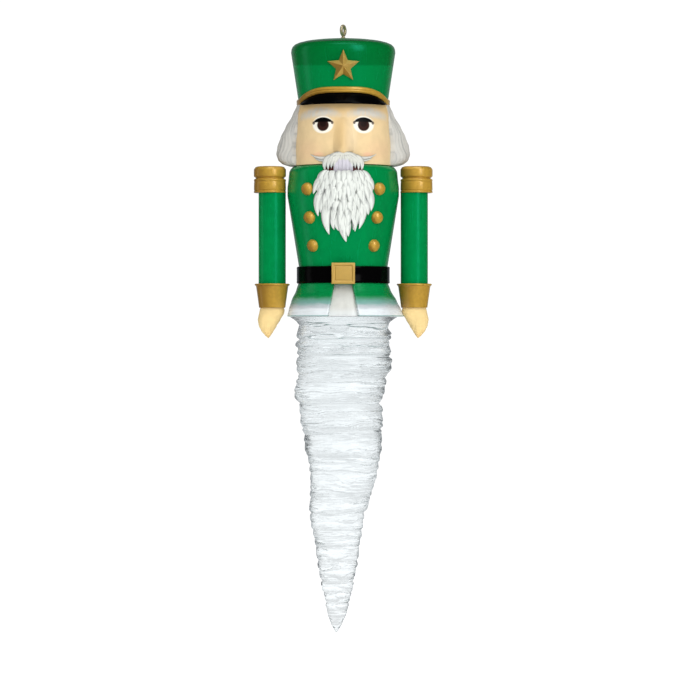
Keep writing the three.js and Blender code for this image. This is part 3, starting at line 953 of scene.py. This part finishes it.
class ORNAMENT_OT_wig(bpy.types.Operator):
    """Build the silver bell-shaped wig with its carved strands"""

    bl_idname = "ornament.wig"
    bl_label = "Wig"

    def execute(self, context):
        low, high = -36.7, HEAD_HIGH.z + 0.25
        pitch = mm("strand")

        def strand(angle, height):
            arc_length = angle * mm("wig_radius")
            sway = 0.55 * math.sin(height * 0.35 + angle * 3)
            sway += 0.8 * noise.noise((angle * 2, height * 0.12, 3))
            phase = (arc_length + sway) / pitch
            ridge = abs(math.sin(math.pi * phase))
            lock_phase = (arc_length + sway * 1.5) / (pitch * 3.7)
            lock = abs(math.sin(math.pi * lock_phase)) ** 0.6
            return 0.55 * ridge ** 0.7 + 0.45 * lock

        def hair(u, v, w):
            height = mix(low, high, v)
            waved = WIG_EDGE + 0.035 * math.sin(height * 0.75) * soft_step(high - height, 0, 3)
            angle = mix(waved, math.tau - waved, u)
            inner = head_radius(height) - 0.3
            edge = min(angle - waved, math.tau - waved - angle)
            swell = math.sqrt(soft_step(edge, -math.radians(3), math.radians(17)))
            back = soft_step(edge, math.radians(22), math.radians(100))
            outer = inner + 0.35 + (wig_bell(height) - inner - 0.35) * swell * mix(1, 0.78, back)
            groove = 0.34 * (strand(angle, height) - 0.75) * soft_step(edge, 0, math.radians(3))
            return around(angle, mix(inner, outer + groove, w), height)

        wig = block("wig_shell", 520, 56, hair)

        def height_mark(spot):
            angle = math.atan2(spot.x, -spot.y) % math.tau
            return strand(angle, spot.z)

        mark_relief(wig, height_mark)
        fit(smooth(wig, 70), "silver_hair", "hair")
        return {"FINISHED"}


# ---------- moustache, jaw and beard ----------


def lock(name, route, half_width, thickness, wall, rows=22, sides=14):
    """One carved lock of hair: a tapered leaf that follows a route of (side, height, stand-off) points.

    wall(height) is the radius of the round front that the lock lies on.
    """
    clear_selection()
    bpy.ops.mesh.primitive_uv_sphere_add(segments=sides, ring_count=rows, radius=1)
    piece = name_new(name)
    relief = piece.data.attributes.new("relief", "FLOAT", "POINT")
    start, bend, end = (Vector(point) for point in route)
    for vertex, value in zip(piece.data.vertices, relief.data):
        share = (1 - vertex.co.z) / 2
        flat = Vector((vertex.co.x, vertex.co.y))
        turn = math.atan2(flat.y, flat.x) if flat.length > 1e-6 else 0.0
        middle = start * (1 - share) ** 2 + bend * 2 * share * (1 - share) + end * share ** 2
        run = (bend - start) * (1 - share) + (end - bend) * share
        across = Vector((run.y, -run.x)).normalized() if run.xy.length > 1e-6 else Vector((1.0, 0.0))
        body = math.sin(math.pi * min(share, 0.999) ** 0.62) ** 0.75 if 0 < share < 1 else 0.0
        side_reach = math.cos(turn)
        lift = max(math.sin(turn), -0.45)
        comb = 0.5 + 0.5 * math.cos(side_reach * 7.5 + middle.x)
        height = thickness * body * lift * (0.82 + 0.18 * comb)
        x = middle.x + across.x * half_width * body * side_reach
        z = middle.y + across.y * half_width * body * side_reach
        vertex.co = Vector((x, front_depth(wall(z), x) - middle.z - height, z)) * MM
        value.value = max(0.0, lift) * (0.45 + 0.55 * comb)
    piece.data.update()
    edit_all(piece)
    bpy.ops.mesh.normals_make_consistent(inside=False)
    bpy.ops.object.mode_set(mode="OBJECT")
    return piece


def locks_from(name, table, wall, rows, sides):
    """A lock for each row of a table: root, bend, tip, half width and thickness."""
    return [
        lock(f"{name}_{i}", row[:3], *row[3:], wall, rows, sides) for i, row in enumerate(table)
    ]


def both_sides(locks):
    """The same locks again, mirrored to the other side."""
    twins = [copied(piece, piece.name + "_twin", MIRROR, flip=True) for piece in locks]
    return locks + twins


def face_wall(height):
    return HEAD_HIGH.x if height > -34 else 13.1


def coat_wall(height):
    return along([(-36.9, 13.6), (-38.5, 14.2), (-43.6, 14.7), (-45.2, 14.6), (-63, 11.75)], height)


class ORNAMENT_OT_moustache(bpy.types.Operator):
    """Build the moustache: two full lobes under the nose and curled tips"""

    bl_idname = "ornament.moustache"
    bl_label = "Moustache"

    def execute(self, context):
        # Each lock: root, bend and tip as (side, height, stand-off), then half width and thickness.
        wings = [
            ((1.2, -34.1, 0.5), (5.6, -36.4, 0.6), (8.7, -34.0, 0.1), 0.44, 0.5),
            ((2.4, -34.9, 0.3), (5.6, -36.7, 0.3), (7.6, -35.0, 0.0), 0.36, 0.4),
            ((-1.2, -34.4, 0.9), (3.1, -33.8, 1.2), (5.2, -36.4, 0.7), 0.75, 0.8),
            ((2.2, -34.8, 0.9), (5.6, -35.4, 1.1), (4.7, -38.6, 1.2), 0.95, 1.0),
            ((1.9, -34.6, 1.2), (4.3, -35.4, 1.5), (3.9, -38.5, 1.5), 0.8, 0.9),
            ((1.6, -34.8, 1.3), (3.2, -35.6, 1.7), (3.1, -38.0, 1.6), 0.7, 0.9),
            ((1.3, -35.0, 1.4), (2.4, -35.8, 1.8), (2.35, -38.3, 1.6), 0.55, 0.8),
        ]
        locks = both_sides(locks_from("moustache_wing", wings, face_wall, 26, 18))
        for i, side in enumerate((-2.2, -1.45, -0.7, 0.0, 0.7, 1.45, 2.2)):
            low = -36.5 - 0.2 * side * side
            route = ((side * 0.5, -34.4, 1.0), (side * 1.1, -35.1, 1.7), (side * 1.25, low, 1.5))
            locks.append(lock(f"moustache_drop_{i}", route, 0.6, 0.8, face_wall, 24, 14))
        moustache = joined(locks, "moustache_locks")
        fit(smooth(moustache, 75), "white_beard", "moustache")
        return {"FINISHED"}


class ORNAMENT_OT_jaw(bpy.types.Operator):
    """Build the red mouth block and the row of white teeth"""

    bl_idname = "ornament.jaw"
    bl_label = "Jaw"

    def execute(self, context):
        low, high = box_mm("jaw")
        half = high.x - 0.1

        def mouth(u, v, w):
            x = mix(-half, half, u)
            height = mix(low.z, high.z + 0.3, v)
            ends = math.sqrt(max(1 - (abs(x) / (half + 0.05)) ** 4, 0.02))
            return x, front_depth(coat_wall(height), x) - w * 0.45 * ends, height

        fit(smooth(eased(block("mouth_red", 36, 6, mouth), 0.12)), "teeth_white", finish="lip_red")

        teeth, reach, wall = 5, 2.5, 14.0

        def row(u, v, w):
            x = mix(-reach, reach, u)
            tooth = abs(math.cos(math.pi * teeth * u)) ** 0.35
            height = mix(low.z - 0.2, high.z + 2.3, v)
            round_v = math.sin(math.pi * mix(0.08, 0.92, v)) ** 0.35
            crown = 1 - tooth ** 8 * 0.35
            return x, front_depth(wall, x) - w * (0.5 + 0.75 * crown * round_v), height

        fit(smooth(block("teeth_row", 96, 14, row), 60), "teeth_white", "jaw")
        return {"FINISHED"}


BEARD_SEED = 3


class ORNAMENT_OT_beard(bpy.types.Operator):
    """Build the beard from pointed, overlapping locks: outer locks over rows of small tufts"""

    bl_idname = "ornament.beard"
    bl_label = "Beard"

    def execute(self, context):
        # Each outer lock: root, bend and tip as (side, height, stand-off), then half width and thickness.
        outer = [
            ((-3.4, -39.6, 0.1), (-7.0, -41.0, 0.3), (-7.8, -44.6, 0.4), 1.3, 1.0),
            ((-4.6, -43.2, 0.2), (-7.6, -46.0, 0.4), (-6.5, -50.4, 0.3), 1.3, 1.1),
            ((-3.0, -46.0, 0.3), (-5.6, -50.0, 0.5), (-3.6, -55.2, 0.3), 1.5, 1.1),
            ((-1.6, -46.0, 0.4), (-2.8, -50.5, 0.5), (-1.2, -54.2, 0.2), 1.5, 1.2),
            ((0.2, -47.0, 0.4), (-0.8, -52.5, 0.6), (0.8, -57.1, 0.3), 1.6, 1.3),
            ((2.0, -46.5, 0.4), (3.9, -50.0, 0.6), (2.6, -54.0, 0.2), 1.6, 1.2),
            ((3.2, -45.0, 0.3), (6.1, -48.5, 0.5), (4.1, -53.7, 0.3), 1.5, 1.1),
            ((4.4, -42.5, 0.2), (8.0, -44.8, 0.4), (7.2, -49.1, 0.3), 1.3, 1.1),
            ((3.4, -39.8, 0.1), (7.2, -40.4, 0.3), (7.9, -43.4, 0.4), 1.3, 1.0),
        ]
        beard = joined(locks_from("beard_outer", outer, coat_wall, 26, 16) + self.tufts(), "beard_locks")
        fit(smooth(beard, 75), "white_beard", "beard")
        return {"FINISHED"}

    def tufts(self):
        """Rows of small flame-shaped locks from the tip of the beard up to the chin."""
        half_widths = [(-39.2, 4.9), (-41, 6.5), (-44, 7.4), (-47, 7.2), (-50, 6.3), (-52.5, 4.9),
                       (-54.5, 3.1), (-56.3, 1.0)]
        noise.seed_set(BEARD_SEED)
        tufts = []
        row_count, lowest, highest = 13, -56.0, -41.0
        for row in range(row_count):
            level = mix(lowest, highest, row / (row_count - 1))
            half = along(half_widths, level) - 0.2
            count = max(1, round(2 * half / 1.75))
            for place in range(count + row % 2):
                share = (place + 0.5 * (1 - row % 2)) / max(count, 1) * 2 - 1
                stir = noise.noise_vector((share * 7.3 + 3.1, row * 2.3, 0.4))
                side = half * share + 0.8 * stir.x + 0.15
                tip_z = level - 1.1 * stir.y - 0.6 * (1 - share * share)
                length = mix(5.2, 4.0, row / row_count) * (1 + 0.5 * stir.z)
                root_z = min(tip_z + length, -38.6)
                bulk = 0.3 + 2.1 * (1 - share * share) * soft_step(level, -58, -45)
                curl = 1.5 * stir.z + 0.7 * share
                root = (side * 0.72 - 0.9 * stir.z, root_z, bulk * 0.75)
                bend = (side * 0.9 + curl, mix(root_z, tip_z, 0.5), bulk + 0.55)
                tufts.append(lock(f"beard_tuft_{row}_{place}", (root, bend, (side, tip_z, bulk + 0.15)),
                                  0.86 + 0.3 * stir.y, 0.8, coat_wall, 20, 12))
        return tufts


# ---------- coat ----------


class ORNAMENT_OT_coat(bpy.types.Operator):
    """Build the green coat, its domed gold buttons, the belt and the buckle"""

    bl_idname = "ornament.coat"
    bl_label = "Coat"

    def execute(self, context):
        top, low = COAT_HIGH.z + 0.15, COAT_LOW.z - 0.2
        chest = COAT_HIGH.x
        shoulder = arc((12.2, top - 2.1), 2.1, 90, 0, 12)
        side = [(14.55, -41.2), (14.72, -42.4), (chest, -43.6), (14.72, -44.6)]
        taper = [(mix(14.6, 11.75, i / 10), mix(-45.4, BELT_HIGH.z + 0.3, i / 10)) for i in range(11)]
        coat = spun("coat_shell", [(0, top), *shoulder, *side, *taper, (11.6, low), (0, low)], 144)
        fit(smooth(coat), "green_enamel", "coat_body")
        self.buttons()
        self.belt()
        return {"FINISHED"}

    def buttons(self):
        radius = mm("button_radius")
        dome = arc((0, 0.22), 1.0, 12, 90, 12)
        outline = [(0, -0.5), (radius, -0.5), (radius, 0.12), (radius * 0.97, 0.2),
                   *[(x * radius * 0.93, z * 1.1) for x, z in dome]]
        model = smooth(eased(spun("button_model", outline, 48), 0.05, 2), 50)
        for side in ("right", "left"):
            for row in (1, 2, 3):
                node = f"button_{side}_{row}"
                low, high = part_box(node)
                middle = (low + high) / 2
                outward = Vector((middle.x, middle.y, -0.16 * middle.xy.length)).normalized()
                seat = middle - outward * 0.45 * MM
                turn = outward.to_track_quat("Z", "Y").to_matrix().to_4x4()
                knob = copied(model, f"coat_{node}", Matrix.Translation(seat) @ turn)
                fit(knob, "gold_paint", node)
        bpy.data.objects.remove(model)

    def belt(self):
        low, high, radius = BELT_LOW.z, BELT_HIGH.z, mm("belt_radius")
        strap = spun("waist_belt", [
            (11.3, low), (radius - 0.1, low), (radius, low + 0.5), (radius - 0.06, low + 0.62),
            (radius - 0.06, high - 0.62), (radius, high - 0.5), (radius - 0.1, high), (11.3, high),
            (11.3, low)], 144)
        fit(smooth(eased(strap, 0.1)), "black_enamel", "belt")

        low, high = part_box("buckle")
        high.y += 0.9 * MM
        clear_selection()
        bpy.ops.mesh.primitive_cube_add(size=1, location=(low + high) / 2, scale=high - low)
        bpy.ops.object.transform_apply(location=True, scale=True)
        buckle = name_new("belt_buckle")
        edit_faces(buckle, lambda normal: normal.y < -0.9)
        for thickness, depth in ((0.62, 0), (0.16, -0.22), (0.2, 0), (0.1, 0.1)):
            bpy.ops.mesh.inset(thickness=thickness * MM, depth=depth * MM)
        bpy.ops.object.mode_set(mode="OBJECT")
        eased(buckle, 0.12, 3, 25)
        edit_all(buckle)
        close_up()
        # The buckle's paler gold is a painted highlight.
        fit(smooth(buckle, 32), "gold_paint", "buckle", finish="highlit_gold")


TROUSERS = [(-67.6, 10.6), (-72.2, 12.4), (-76.4, 13.5)]
SKIRT = [(-67.6, 11.85), (-69.5, 12.45), (-72.2, 13.75), (-74.6, 14.5), (-76.4, 14.95)]


class ORNAMENT_OT_skirt(bpy.types.Operator):
    """Build the flared coat skirt with its frosted hem, and the pearl trousers in its slit"""

    bl_idname = "ornament.skirt"
    bl_label = "Skirt and trousers"

    def execute(self, context):
        top, low = SKIRT_HIGH.z + 0.6, SKIRT_LOW.z
        levels = [mix(top, low, i / 16) for i in range(17)]
        cone = spun("trouser_cone", [(0, top), *[(along(TROUSERS, z), z) for z in levels], (0, low)], 120)

        def creased(spot):
            crease = 0.22 * math.exp(-((spot.x / 0.35) ** 2)) if spot.y < -5 else 0.0
            return spot.x, spot.y + crease, spot.z

        fit(smooth(reshape(cone, creased)), "pearl_paint", "trousers")

        def flare(u, v, w):
            height = mix(low, top, v)
            slit = math.radians(mix(16.3, 11.6, v))
            angle = mix(slit, math.tau - slit, u)
            edge = min(u, 1 - u) * (math.tau - 2 * slit)
            kick = 1.0 * math.exp(-(((angle - math.pi / 2) / 0.35) ** 2)) * (1 - v) ** 2
            folds = 0.16 * math.sin(angle * 9 + 0.6 * math.sin(angle * 2)) * (1 - v)
            lapel = 0.18 * math.exp(-((edge / 0.06) ** 2))
            inner = along(TROUSERS, height) - 0.1
            outer = along(SKIRT, height) + kick + folds * soft_step(edge, 0, 0.3) + lapel
            return around(angle, mix(inner, outer, w), height)

        skirt = block("skirt_flare", 220, 22, flare)
        fit(smooth(eased(skirt, 0.16, 3, 40)), "coat_skirt_fade", "coat_skirt")
        return {"FINISHED"}


# ---------- arms ----------


class ORNAMENT_OT_arms(bpy.types.Operator):
    """Build both arms: gold shoulder pieces, green sleeves, gold cuffs and mitten hands"""

    bl_idname = "ornament.arms"
    bl_label = "Arms"

    def execute(self, context):
        models = {
            "epaulette": (self.shoulder(), "gold_paint"),
            "sleeve": (self.sleeve(), "green_enamel"),
            "cuff": (self.cuff(), "gold_paint"),
            "hand": (self.hand(), "hand_paint"),
        }
        for kind, (model, slot) in models.items():
            fit(copied(model, f"arm_{kind}_right", MIRROR, flip=True), slot, f"{kind}_right")
            fit(copied(model, f"arm_{kind}_left", Matrix.Identity(4)), slot, f"{kind}_left")
            bpy.data.objects.remove(model)
        return {"FINISHED"}

    def shifted(self, piece, x):
        piece.data.transform(Matrix.Translation((x * MM, 0, 0)))
        return piece

    def shoulder(self):
        """Two stacked gold pads with a groove between them and a thin lip at the foot."""
        r, top, low = (PAD_HIGH.x - PAD_LOW.x) / 2, PAD_HIGH.z, PAD_LOW.z
        pad = spun("shoulder_model", [
            (0, top), (r - 1.0, top), (r - 0.45, top - 0.18), (r - 0.12, top - 0.62), (r - 0.02, top - 0.8),
            (r, top - 0.95), (r, top - 2.55), (r - 0.12, top - 2.8), (r - 0.5, top - 2.98),
            (r - 0.52, top - 3.22), (r - 0.1, top - 3.4), (r, top - 3.55), (r - 0.05, top - 3.95),
            (r - 0.13, top - 4.1), (r - 0.05, top - 4.28), (r - 0.02, low + 0.72), (r - 0.16, low + 0.6),
            (r - 0.14, low + 0.5), (r + 0.02, low + 0.4), (r + 0.02, low + 0.12), (r - 0.15, low), (0, low),
        ], 88)
        return self.shifted(smooth(eased(pad, 0.09, 2, 22), 40), PAD_X)

    def sleeve(self):
        r, top, low = (SLEEVE_HIGH.x - SLEEVE_LOW.x) / 2, SLEEVE_HIGH.z + 0.5, SLEEVE_LOW.z - 0.5
        rows = [(r, mix(top, low, i / 16)) for i in range(17)]
        return self.shifted(smooth(spun("sleeve_model", [(0, top), *rows, (0, low)], 80)), ARM_X)

    def cuff(self):
        """A thin flange over a tapering cuff with a rolled wrist edge."""
        r, top, low = (CUFF_HIGH.x - CUFF_LOW.x) / 2, CUFF_HIGH.z + 0.1, CUFF_LOW.z
        neck, wrist = r - 0.42, 3.45
        cuff = spun("cuff_model", [
            (0, top), (3.7, top), (3.9, top + 0.08), (r - 0.15, top + 0.05), (r, top - 0.1),
            (r - 0.02, top - 0.34), (r - 0.3, top - 0.5), (neck, top - 0.75),
            (mix(neck, wrist, 0.35), mix(top - 0.75, low, 0.35)),
            (mix(neck, wrist, 0.7), mix(top - 0.75, low, 0.7)),
            (wrist + 0.06, low + 0.3), (wrist + 0.04, low + 0.08), (wrist - 0.1, low), (0, low)], 88)
        return self.shifted(smooth(eased(cuff, 0.07, 2, 25), 40), ARM_X)

    def hand(self):
        """A mitten: the fingers run to one point, with the thumb laid along the inner side."""
        top, tip = HAND_HIGH.z + 0.5, HAND_LOW.z
        away = [(top, 3.05), (-75.0, 3.35), (-77.2, 3.8), (-78.8, 3.55), (-80.2, 2.9), (-81.4, 1.9),
                (tip, 1.1)]
        towards = [(top, 3.05), (-74.8, 3.3), (-75.6, 3.15), (-77.2, 2.2), (-79.0, 1.15), (-80.4, 0.3),
                   (-81.4, -0.35), (tip, -0.9)]
        depth = [(top, 2.6), (-76.5, 2.65), (-78.8, 2.15), (-80.6, 1.5), (-81.6, 0.9), (tip, 0.25)]
        rows = 44
        levels = [mix(top, tip, (i / rows)) for i in range(rows + 1)]
        glove = spun("hand_model", [(0, top), *[(1, z) for z in levels], (0, tip)], 56)

        def mitten(spot):
            middle = (along(away, spot.z) - along(towards, spot.z)) / 2
            half = (along(away, spot.z) + along(towards, spot.z)) / 2
            x = middle + half * spot.x
            fingers = 0.0
            if spot.z < -76.4 and spot.y < 0:
                fade = soft_step(-spot.z, 76.4, 78.0)
                fingers = 0.16 * fade * sum(math.exp(-(((x - c) / 0.16) ** 2)) for c in (0.1, 1.15, 2.15))
            thumb = 0.35 * math.exp(-(((x + 2.0) / 0.75) ** 2) - ((spot.z + 76.4) / 1.5) ** 2)
            y = along(depth, spot.z) * spot.y
            return x, y + fingers - (thumb if spot.y < 0 else -thumb), spot.z

        return self.shifted(smooth(reshape(glove, mitten), 60), ARM_X)


# ---------- icicle ----------

ICE_OUTLINE = [(-76.6, 14.1), (-77.1, 13.2), (-77.9, 12.25), (-79.2, 12.1), (-82, 12.35), (-88, 12.3),
               (-92, 12.05), (-95, 11.75), (-99, 11.2), (-106, 10.4), (-112, 9.75), (-119, 8.55),
               (-124, 8.05), (-130, 7.05), (-136, 5.95), (-141, 5.3), (-147, 4.25), (-152, 3.2),
               (-155, 2.45), (-157.4, 1.5), (-159, 0.6), (-159.7, 0.15)]
ICE_LEAN = [(-76.6, 0.1), (-90, 0.1), (-94, -0.6), (-98, -1.3), (-101, -0.6), (-108, 0.0), (-119, 0.1),
            (-124, -0.7), (-129, -1.65), (-136, -1.45), (-150, -1.5), (-159.7, -1.8)]

# Deep rings where one freeze ended and the next began: level and share of the ledge depth.
ICE_GROOVES = [(-78.5, 0.7), (-82.6, 1.1), (-86.8, 1.2), (-92.6, 0.7), (-99.2, 0.9), (-106.0, 0.7),
               (-123.9, 0.6), (-128.1, 0.5), (-132.6, 0.45), (-136.9, 0.45), (-140.7, 0.4), (-146.1, 0.95),
               (-149.1, 0.85), (-151.8, 0.9)]


class ORNAMENT_OT_icicle(bpy.types.Operator):
    """Build the clear icicle: frozen ledges that wander round it, ripples and side bulges"""

    bl_idname = "ornament.icicle"
    bl_label = "Icicle"

    def execute(self, context):
        rows, sides = 560, 140
        top, tip = ICE_HIGH.z + 0.25, ICE_LOW.z
        levels = [mix(top, tip, i / rows) for i in range(rows + 1)]
        outline = [(0, top), *[(along(ICE_OUTLINE, z), z) for z in levels], (0, tip)]
        ice = spun("ice_spike", outline, sides)
        pitch, depth = mm("ledge_pitch"), mm("ledge_depth")

        def ledges(round_x, round_y, height):
            wander = 1.5 * noise.noise((round_x * 0.9, round_y * 0.9, height * 0.10))
            wander += 0.5 * noise.noise((round_x * 2.2, round_y * 2.2, height * 0.25 + 7))
            uneven = 1.1 * noise.noise((0.3, 0.7, height * 0.21))
            phase = (top - height + wander + uneven) / pitch
            within = phase - math.floor(phase)
            bulk = 0.6 + 0.7 * noise.noise((round_x, round_y, math.floor(phase) * 1.7))
            calm = 1 - 0.3 * math.exp(-(((height + 112) / 14) ** 2))
            calm *= mix(0.6, 1.0, soft_step(height, -138, -104))
            step = calm * bulk * (soft_step(within, 0, 0.75) - soft_step(within, 0.8, 1.0) - 0.45)
            broad = (top - height + 1.4 * wander) / (pitch * 2.9)
            swell = broad - math.floor(broad)
            upper = mix(0.3, 1.0, soft_step(height, -125, -100))
            step += 0.9 * upper * (soft_step(swell, 0, 0.82) - soft_step(swell, 0.88, 1.0) - 0.45)
            for level, cut in ICE_GROOVES:
                step -= cut * math.exp(-(((height - level + 0.25 * wander) / 0.4) ** 2))
            fine = (top - height + 0.8 * wander) / pitch * 2.6
            patchy = noise.noise((round_x * 2, round_y * 2, height * 0.5))
            return step + 0.08 * math.sin(fine * math.tau) * patchy

        def frozen(spot):
            radius = spot.xy.length
            if radius < 0.02:
                return spot.x + along(ICE_LEAN, spot.z), spot.y, spot.z
            ux, uy = spot.x / radius, spot.y / radius
            calm = soft_step(spot.z, tip + 3.5, tip + 9) * soft_step(-spot.z, -top + 0.5, -top + 3.0)
            shrink = mix(0.45, 1.0, min(radius / 9, 1.0))
            side_bulge = 0.35 * noise.noise((ux * 1.3, uy * 1.3, spot.z * 0.17 + 11))
            ripple = 0.03 * noise.noise((ux * 3, uy * 3, spot.z * 1.9))
            push = calm * shrink * (depth * ledges(ux, uy, spot.z) + side_bulge + ripple)
            reach = max(radius + push, 0.05)
            return ux * reach + along(ICE_LEAN, spot.z), uy * reach, spot.z

        reshape(ice, frozen)
        fit(smooth(ice, 80), "clear_ice", "icicle")
        return {"FINISHED"}


# ---------- stage ----------


class ORNAMENT_OT_stage(bpy.types.Operator):
    """Set the pale floor, the soft studio lights and the camera"""

    bl_idname = "ornament.stage"
    bl_label = "Stage"

    def execute(self, context):
        self.floor()
        self.lights()
        self.sky(context.scene)
        self.camera(context.scene)
        context.scene.view_settings.view_transform = "Standard"
        return {"FINISHED"}

    def floor(self):
        clear_selection()
        level = (ICE_LOW.z - 1.0) * MM
        bpy.ops.mesh.primitive_circle_add(vertices=96, radius=0.6, fill_type="NGON", location=(0, 0, level))
        floor = name_new("studio_floor")
        paint = Paint("pale_floor", specular_ior_level=0.3, roughness=0.35)
        patches = paint.noise(0.02, 2.0)
        paint.feed(base_color=paint.blend((0.88, 0.88, 0.88, 1), (0.94, 0.94, 0.94, 1), patches))
        paint.shader.inputs["Emission Color"].default_value = (1, 1, 1, 1)
        paint.shader.inputs["Emission Strength"].default_value = 0.6
        floor.data.materials.append(paint.material)
        floor.visible_glossy = False
        floor.visible_transmission = False

    def lights(self):
        """Soft area lights; the key, side and top lights are also mirrored in glossy paint."""
        middle = Vector((0, 0, -80 * MM))
        # azimuth (0 is in front, positive to the right), elevation, distance, width, height, power, seen
        softboxes = {
            "key_softbox": (33, 27, 0.8, 0.28, 0.72, 2.1, True),
            "side_strip": (-95, 10, 0.8, 0.2, 0.8, 0.3, True),
            "front_softbox": (-3, 26, 1.0, 0.9, 0.7, 4.5, False),
            "top_softbox": (10, 72, 0.8, 0.5, 0.3, 1.0, True),
            "back_softbox": (180, 30, 0.9, 0.8, 0.5, 2.0, False),
        }
        for name, (azimuth, elevation, distance, width, height, power, seen) in softboxes.items():
            turn, rise = math.radians(azimuth), math.radians(elevation)
            away = Vector((math.sin(turn) * math.cos(rise), -math.cos(turn) * math.cos(rise), math.sin(rise)))
            bpy.ops.object.light_add(type="AREA", location=middle + away * distance)
            lamp = name_new(name)
            lamp.data.shape = "RECTANGLE"
            lamp.data.size, lamp.data.size_y = width, height
            lamp.data.energy = power
            lamp.rotation_euler = away.to_track_quat("Z", "Y").to_euler()
            lamp.visible_glossy = seen
            lamp.visible_transmission = False

    def sky(self, scene):
        """White to the eye, a soft room to diffuse paint, near black in gloss, a lit backdrop in ice."""
        world = bpy.data.worlds.new("studio")
        sky = Nodes(world)
        rays = sky.node("ShaderNodeLightPath").outputs
        _, behind, above = sky.parts(sky.node("ShaderNodeTexCoord").outputs["Generated"])

        def room(colour, strength):
            return sky.node("ShaderNodeBackground", {}, {"Color": (*colour, 1), "Strength": strength})

        def chosen(kind, otherwise, shown):
            sockets = {0: rays[kind], 1: otherwise.outputs[0], 2: shown.outputs[0]}
            return sky.node("ShaderNodeMixShader", {}, sockets)

        banded = (above * 15.0).math("COSINE").fade(-1.0, 1.0, 0.79, 1.15)
        backdrop = room((0.95, 0.985, 1.0), banded * behind.fade(-0.2, 0.8, 0.84, 0.98))
        mirrored = room((0.9, 0.95, 1.0), behind.fade(0.55, 0.98, 0.012, 0.4))
        seen = chosen("Is Glossy Ray", room((0.96, 0.98, 1.0), 0.27), mirrored)
        seen = chosen("Is Transmission Ray", seen, backdrop)
        seen = chosen("Is Camera Ray", seen, room((1.0, 1.0, 1.0), 1.05))
        sky.node("ShaderNodeOutputWorld", {}, {"Surface": seen.outputs[0]})
        scene.world = world

    def camera(self, scene):
        distance, frame_width, sensor = 0.92, 0.1795, 36.0
        across, up = -0.85 * MM, -82.6 * MM
        bpy.ops.object.camera_add(location=(across, -distance, up), rotation=(math.pi / 2, 0, 0))
        camera = name_new("front_camera")
        camera.data.sensor_width = sensor
        camera.data.lens = sensor * distance / frame_width
        camera.data.clip_start, camera.data.clip_end = 0.01, 10
        scene.camera = camera


# ---------- panel and registration ----------

OPERATORS = (
    ORNAMENT_OT_hanging_eye,
    ORNAMENT_OT_hat,
    ORNAMENT_OT_face,
    ORNAMENT_OT_wig,
    ORNAMENT_OT_moustache,
    ORNAMENT_OT_jaw,
    ORNAMENT_OT_beard,
    ORNAMENT_OT_coat,
    ORNAMENT_OT_skirt,
    ORNAMENT_OT_arms,
    ORNAMENT_OT_icicle,
    ORNAMENT_OT_stage,
)


class ORNAMENT_PT_panel(bpy.types.Panel):
    """Lists the ornament's sizes, colours and building steps"""

    bl_idname = "ORNAMENT_PT_panel"
    bl_label = "Nutcracker Icicle"
    bl_space_type = "VIEW_3D"
    bl_region_type = "UI"
    bl_category = "Ornament"

    def draw(self, context):
        column = self.layout.column(align=True)
        for operator in OPERATORS:
            column.operator(operator.bl_idname)
        for group in (context.scene.ornament_sizes, context.scene.ornament_colours):
            box = self.layout.box()
            for name in group.__annotations__:
                box.prop(group, name)


CLASSES = (OrnamentSizes, OrnamentColours, *OPERATORS, ORNAMENT_PT_panel)


def register():
    for cls in CLASSES:
        bpy.utils.register_class(cls)
    bpy.types.Scene.ornament_sizes = bpy.props.PointerProperty(type=OrnamentSizes)
    bpy.types.Scene.ornament_colours = bpy.props.PointerProperty(type=OrnamentColours)


def unregister():
    del bpy.types.Scene.ornament_colours
    del bpy.types.Scene.ornament_sizes
    for cls in reversed(CLASSES):
        bpy.utils.unregister_class(cls)


def main():
    """Builds every piece and the stage."""
    register()
    for operator in OPERATORS:
        group, name = operator.bl_idname.split(".")
        getattr(getattr(bpy.ops, group), name)()


if __name__ == "__main__":
    main()
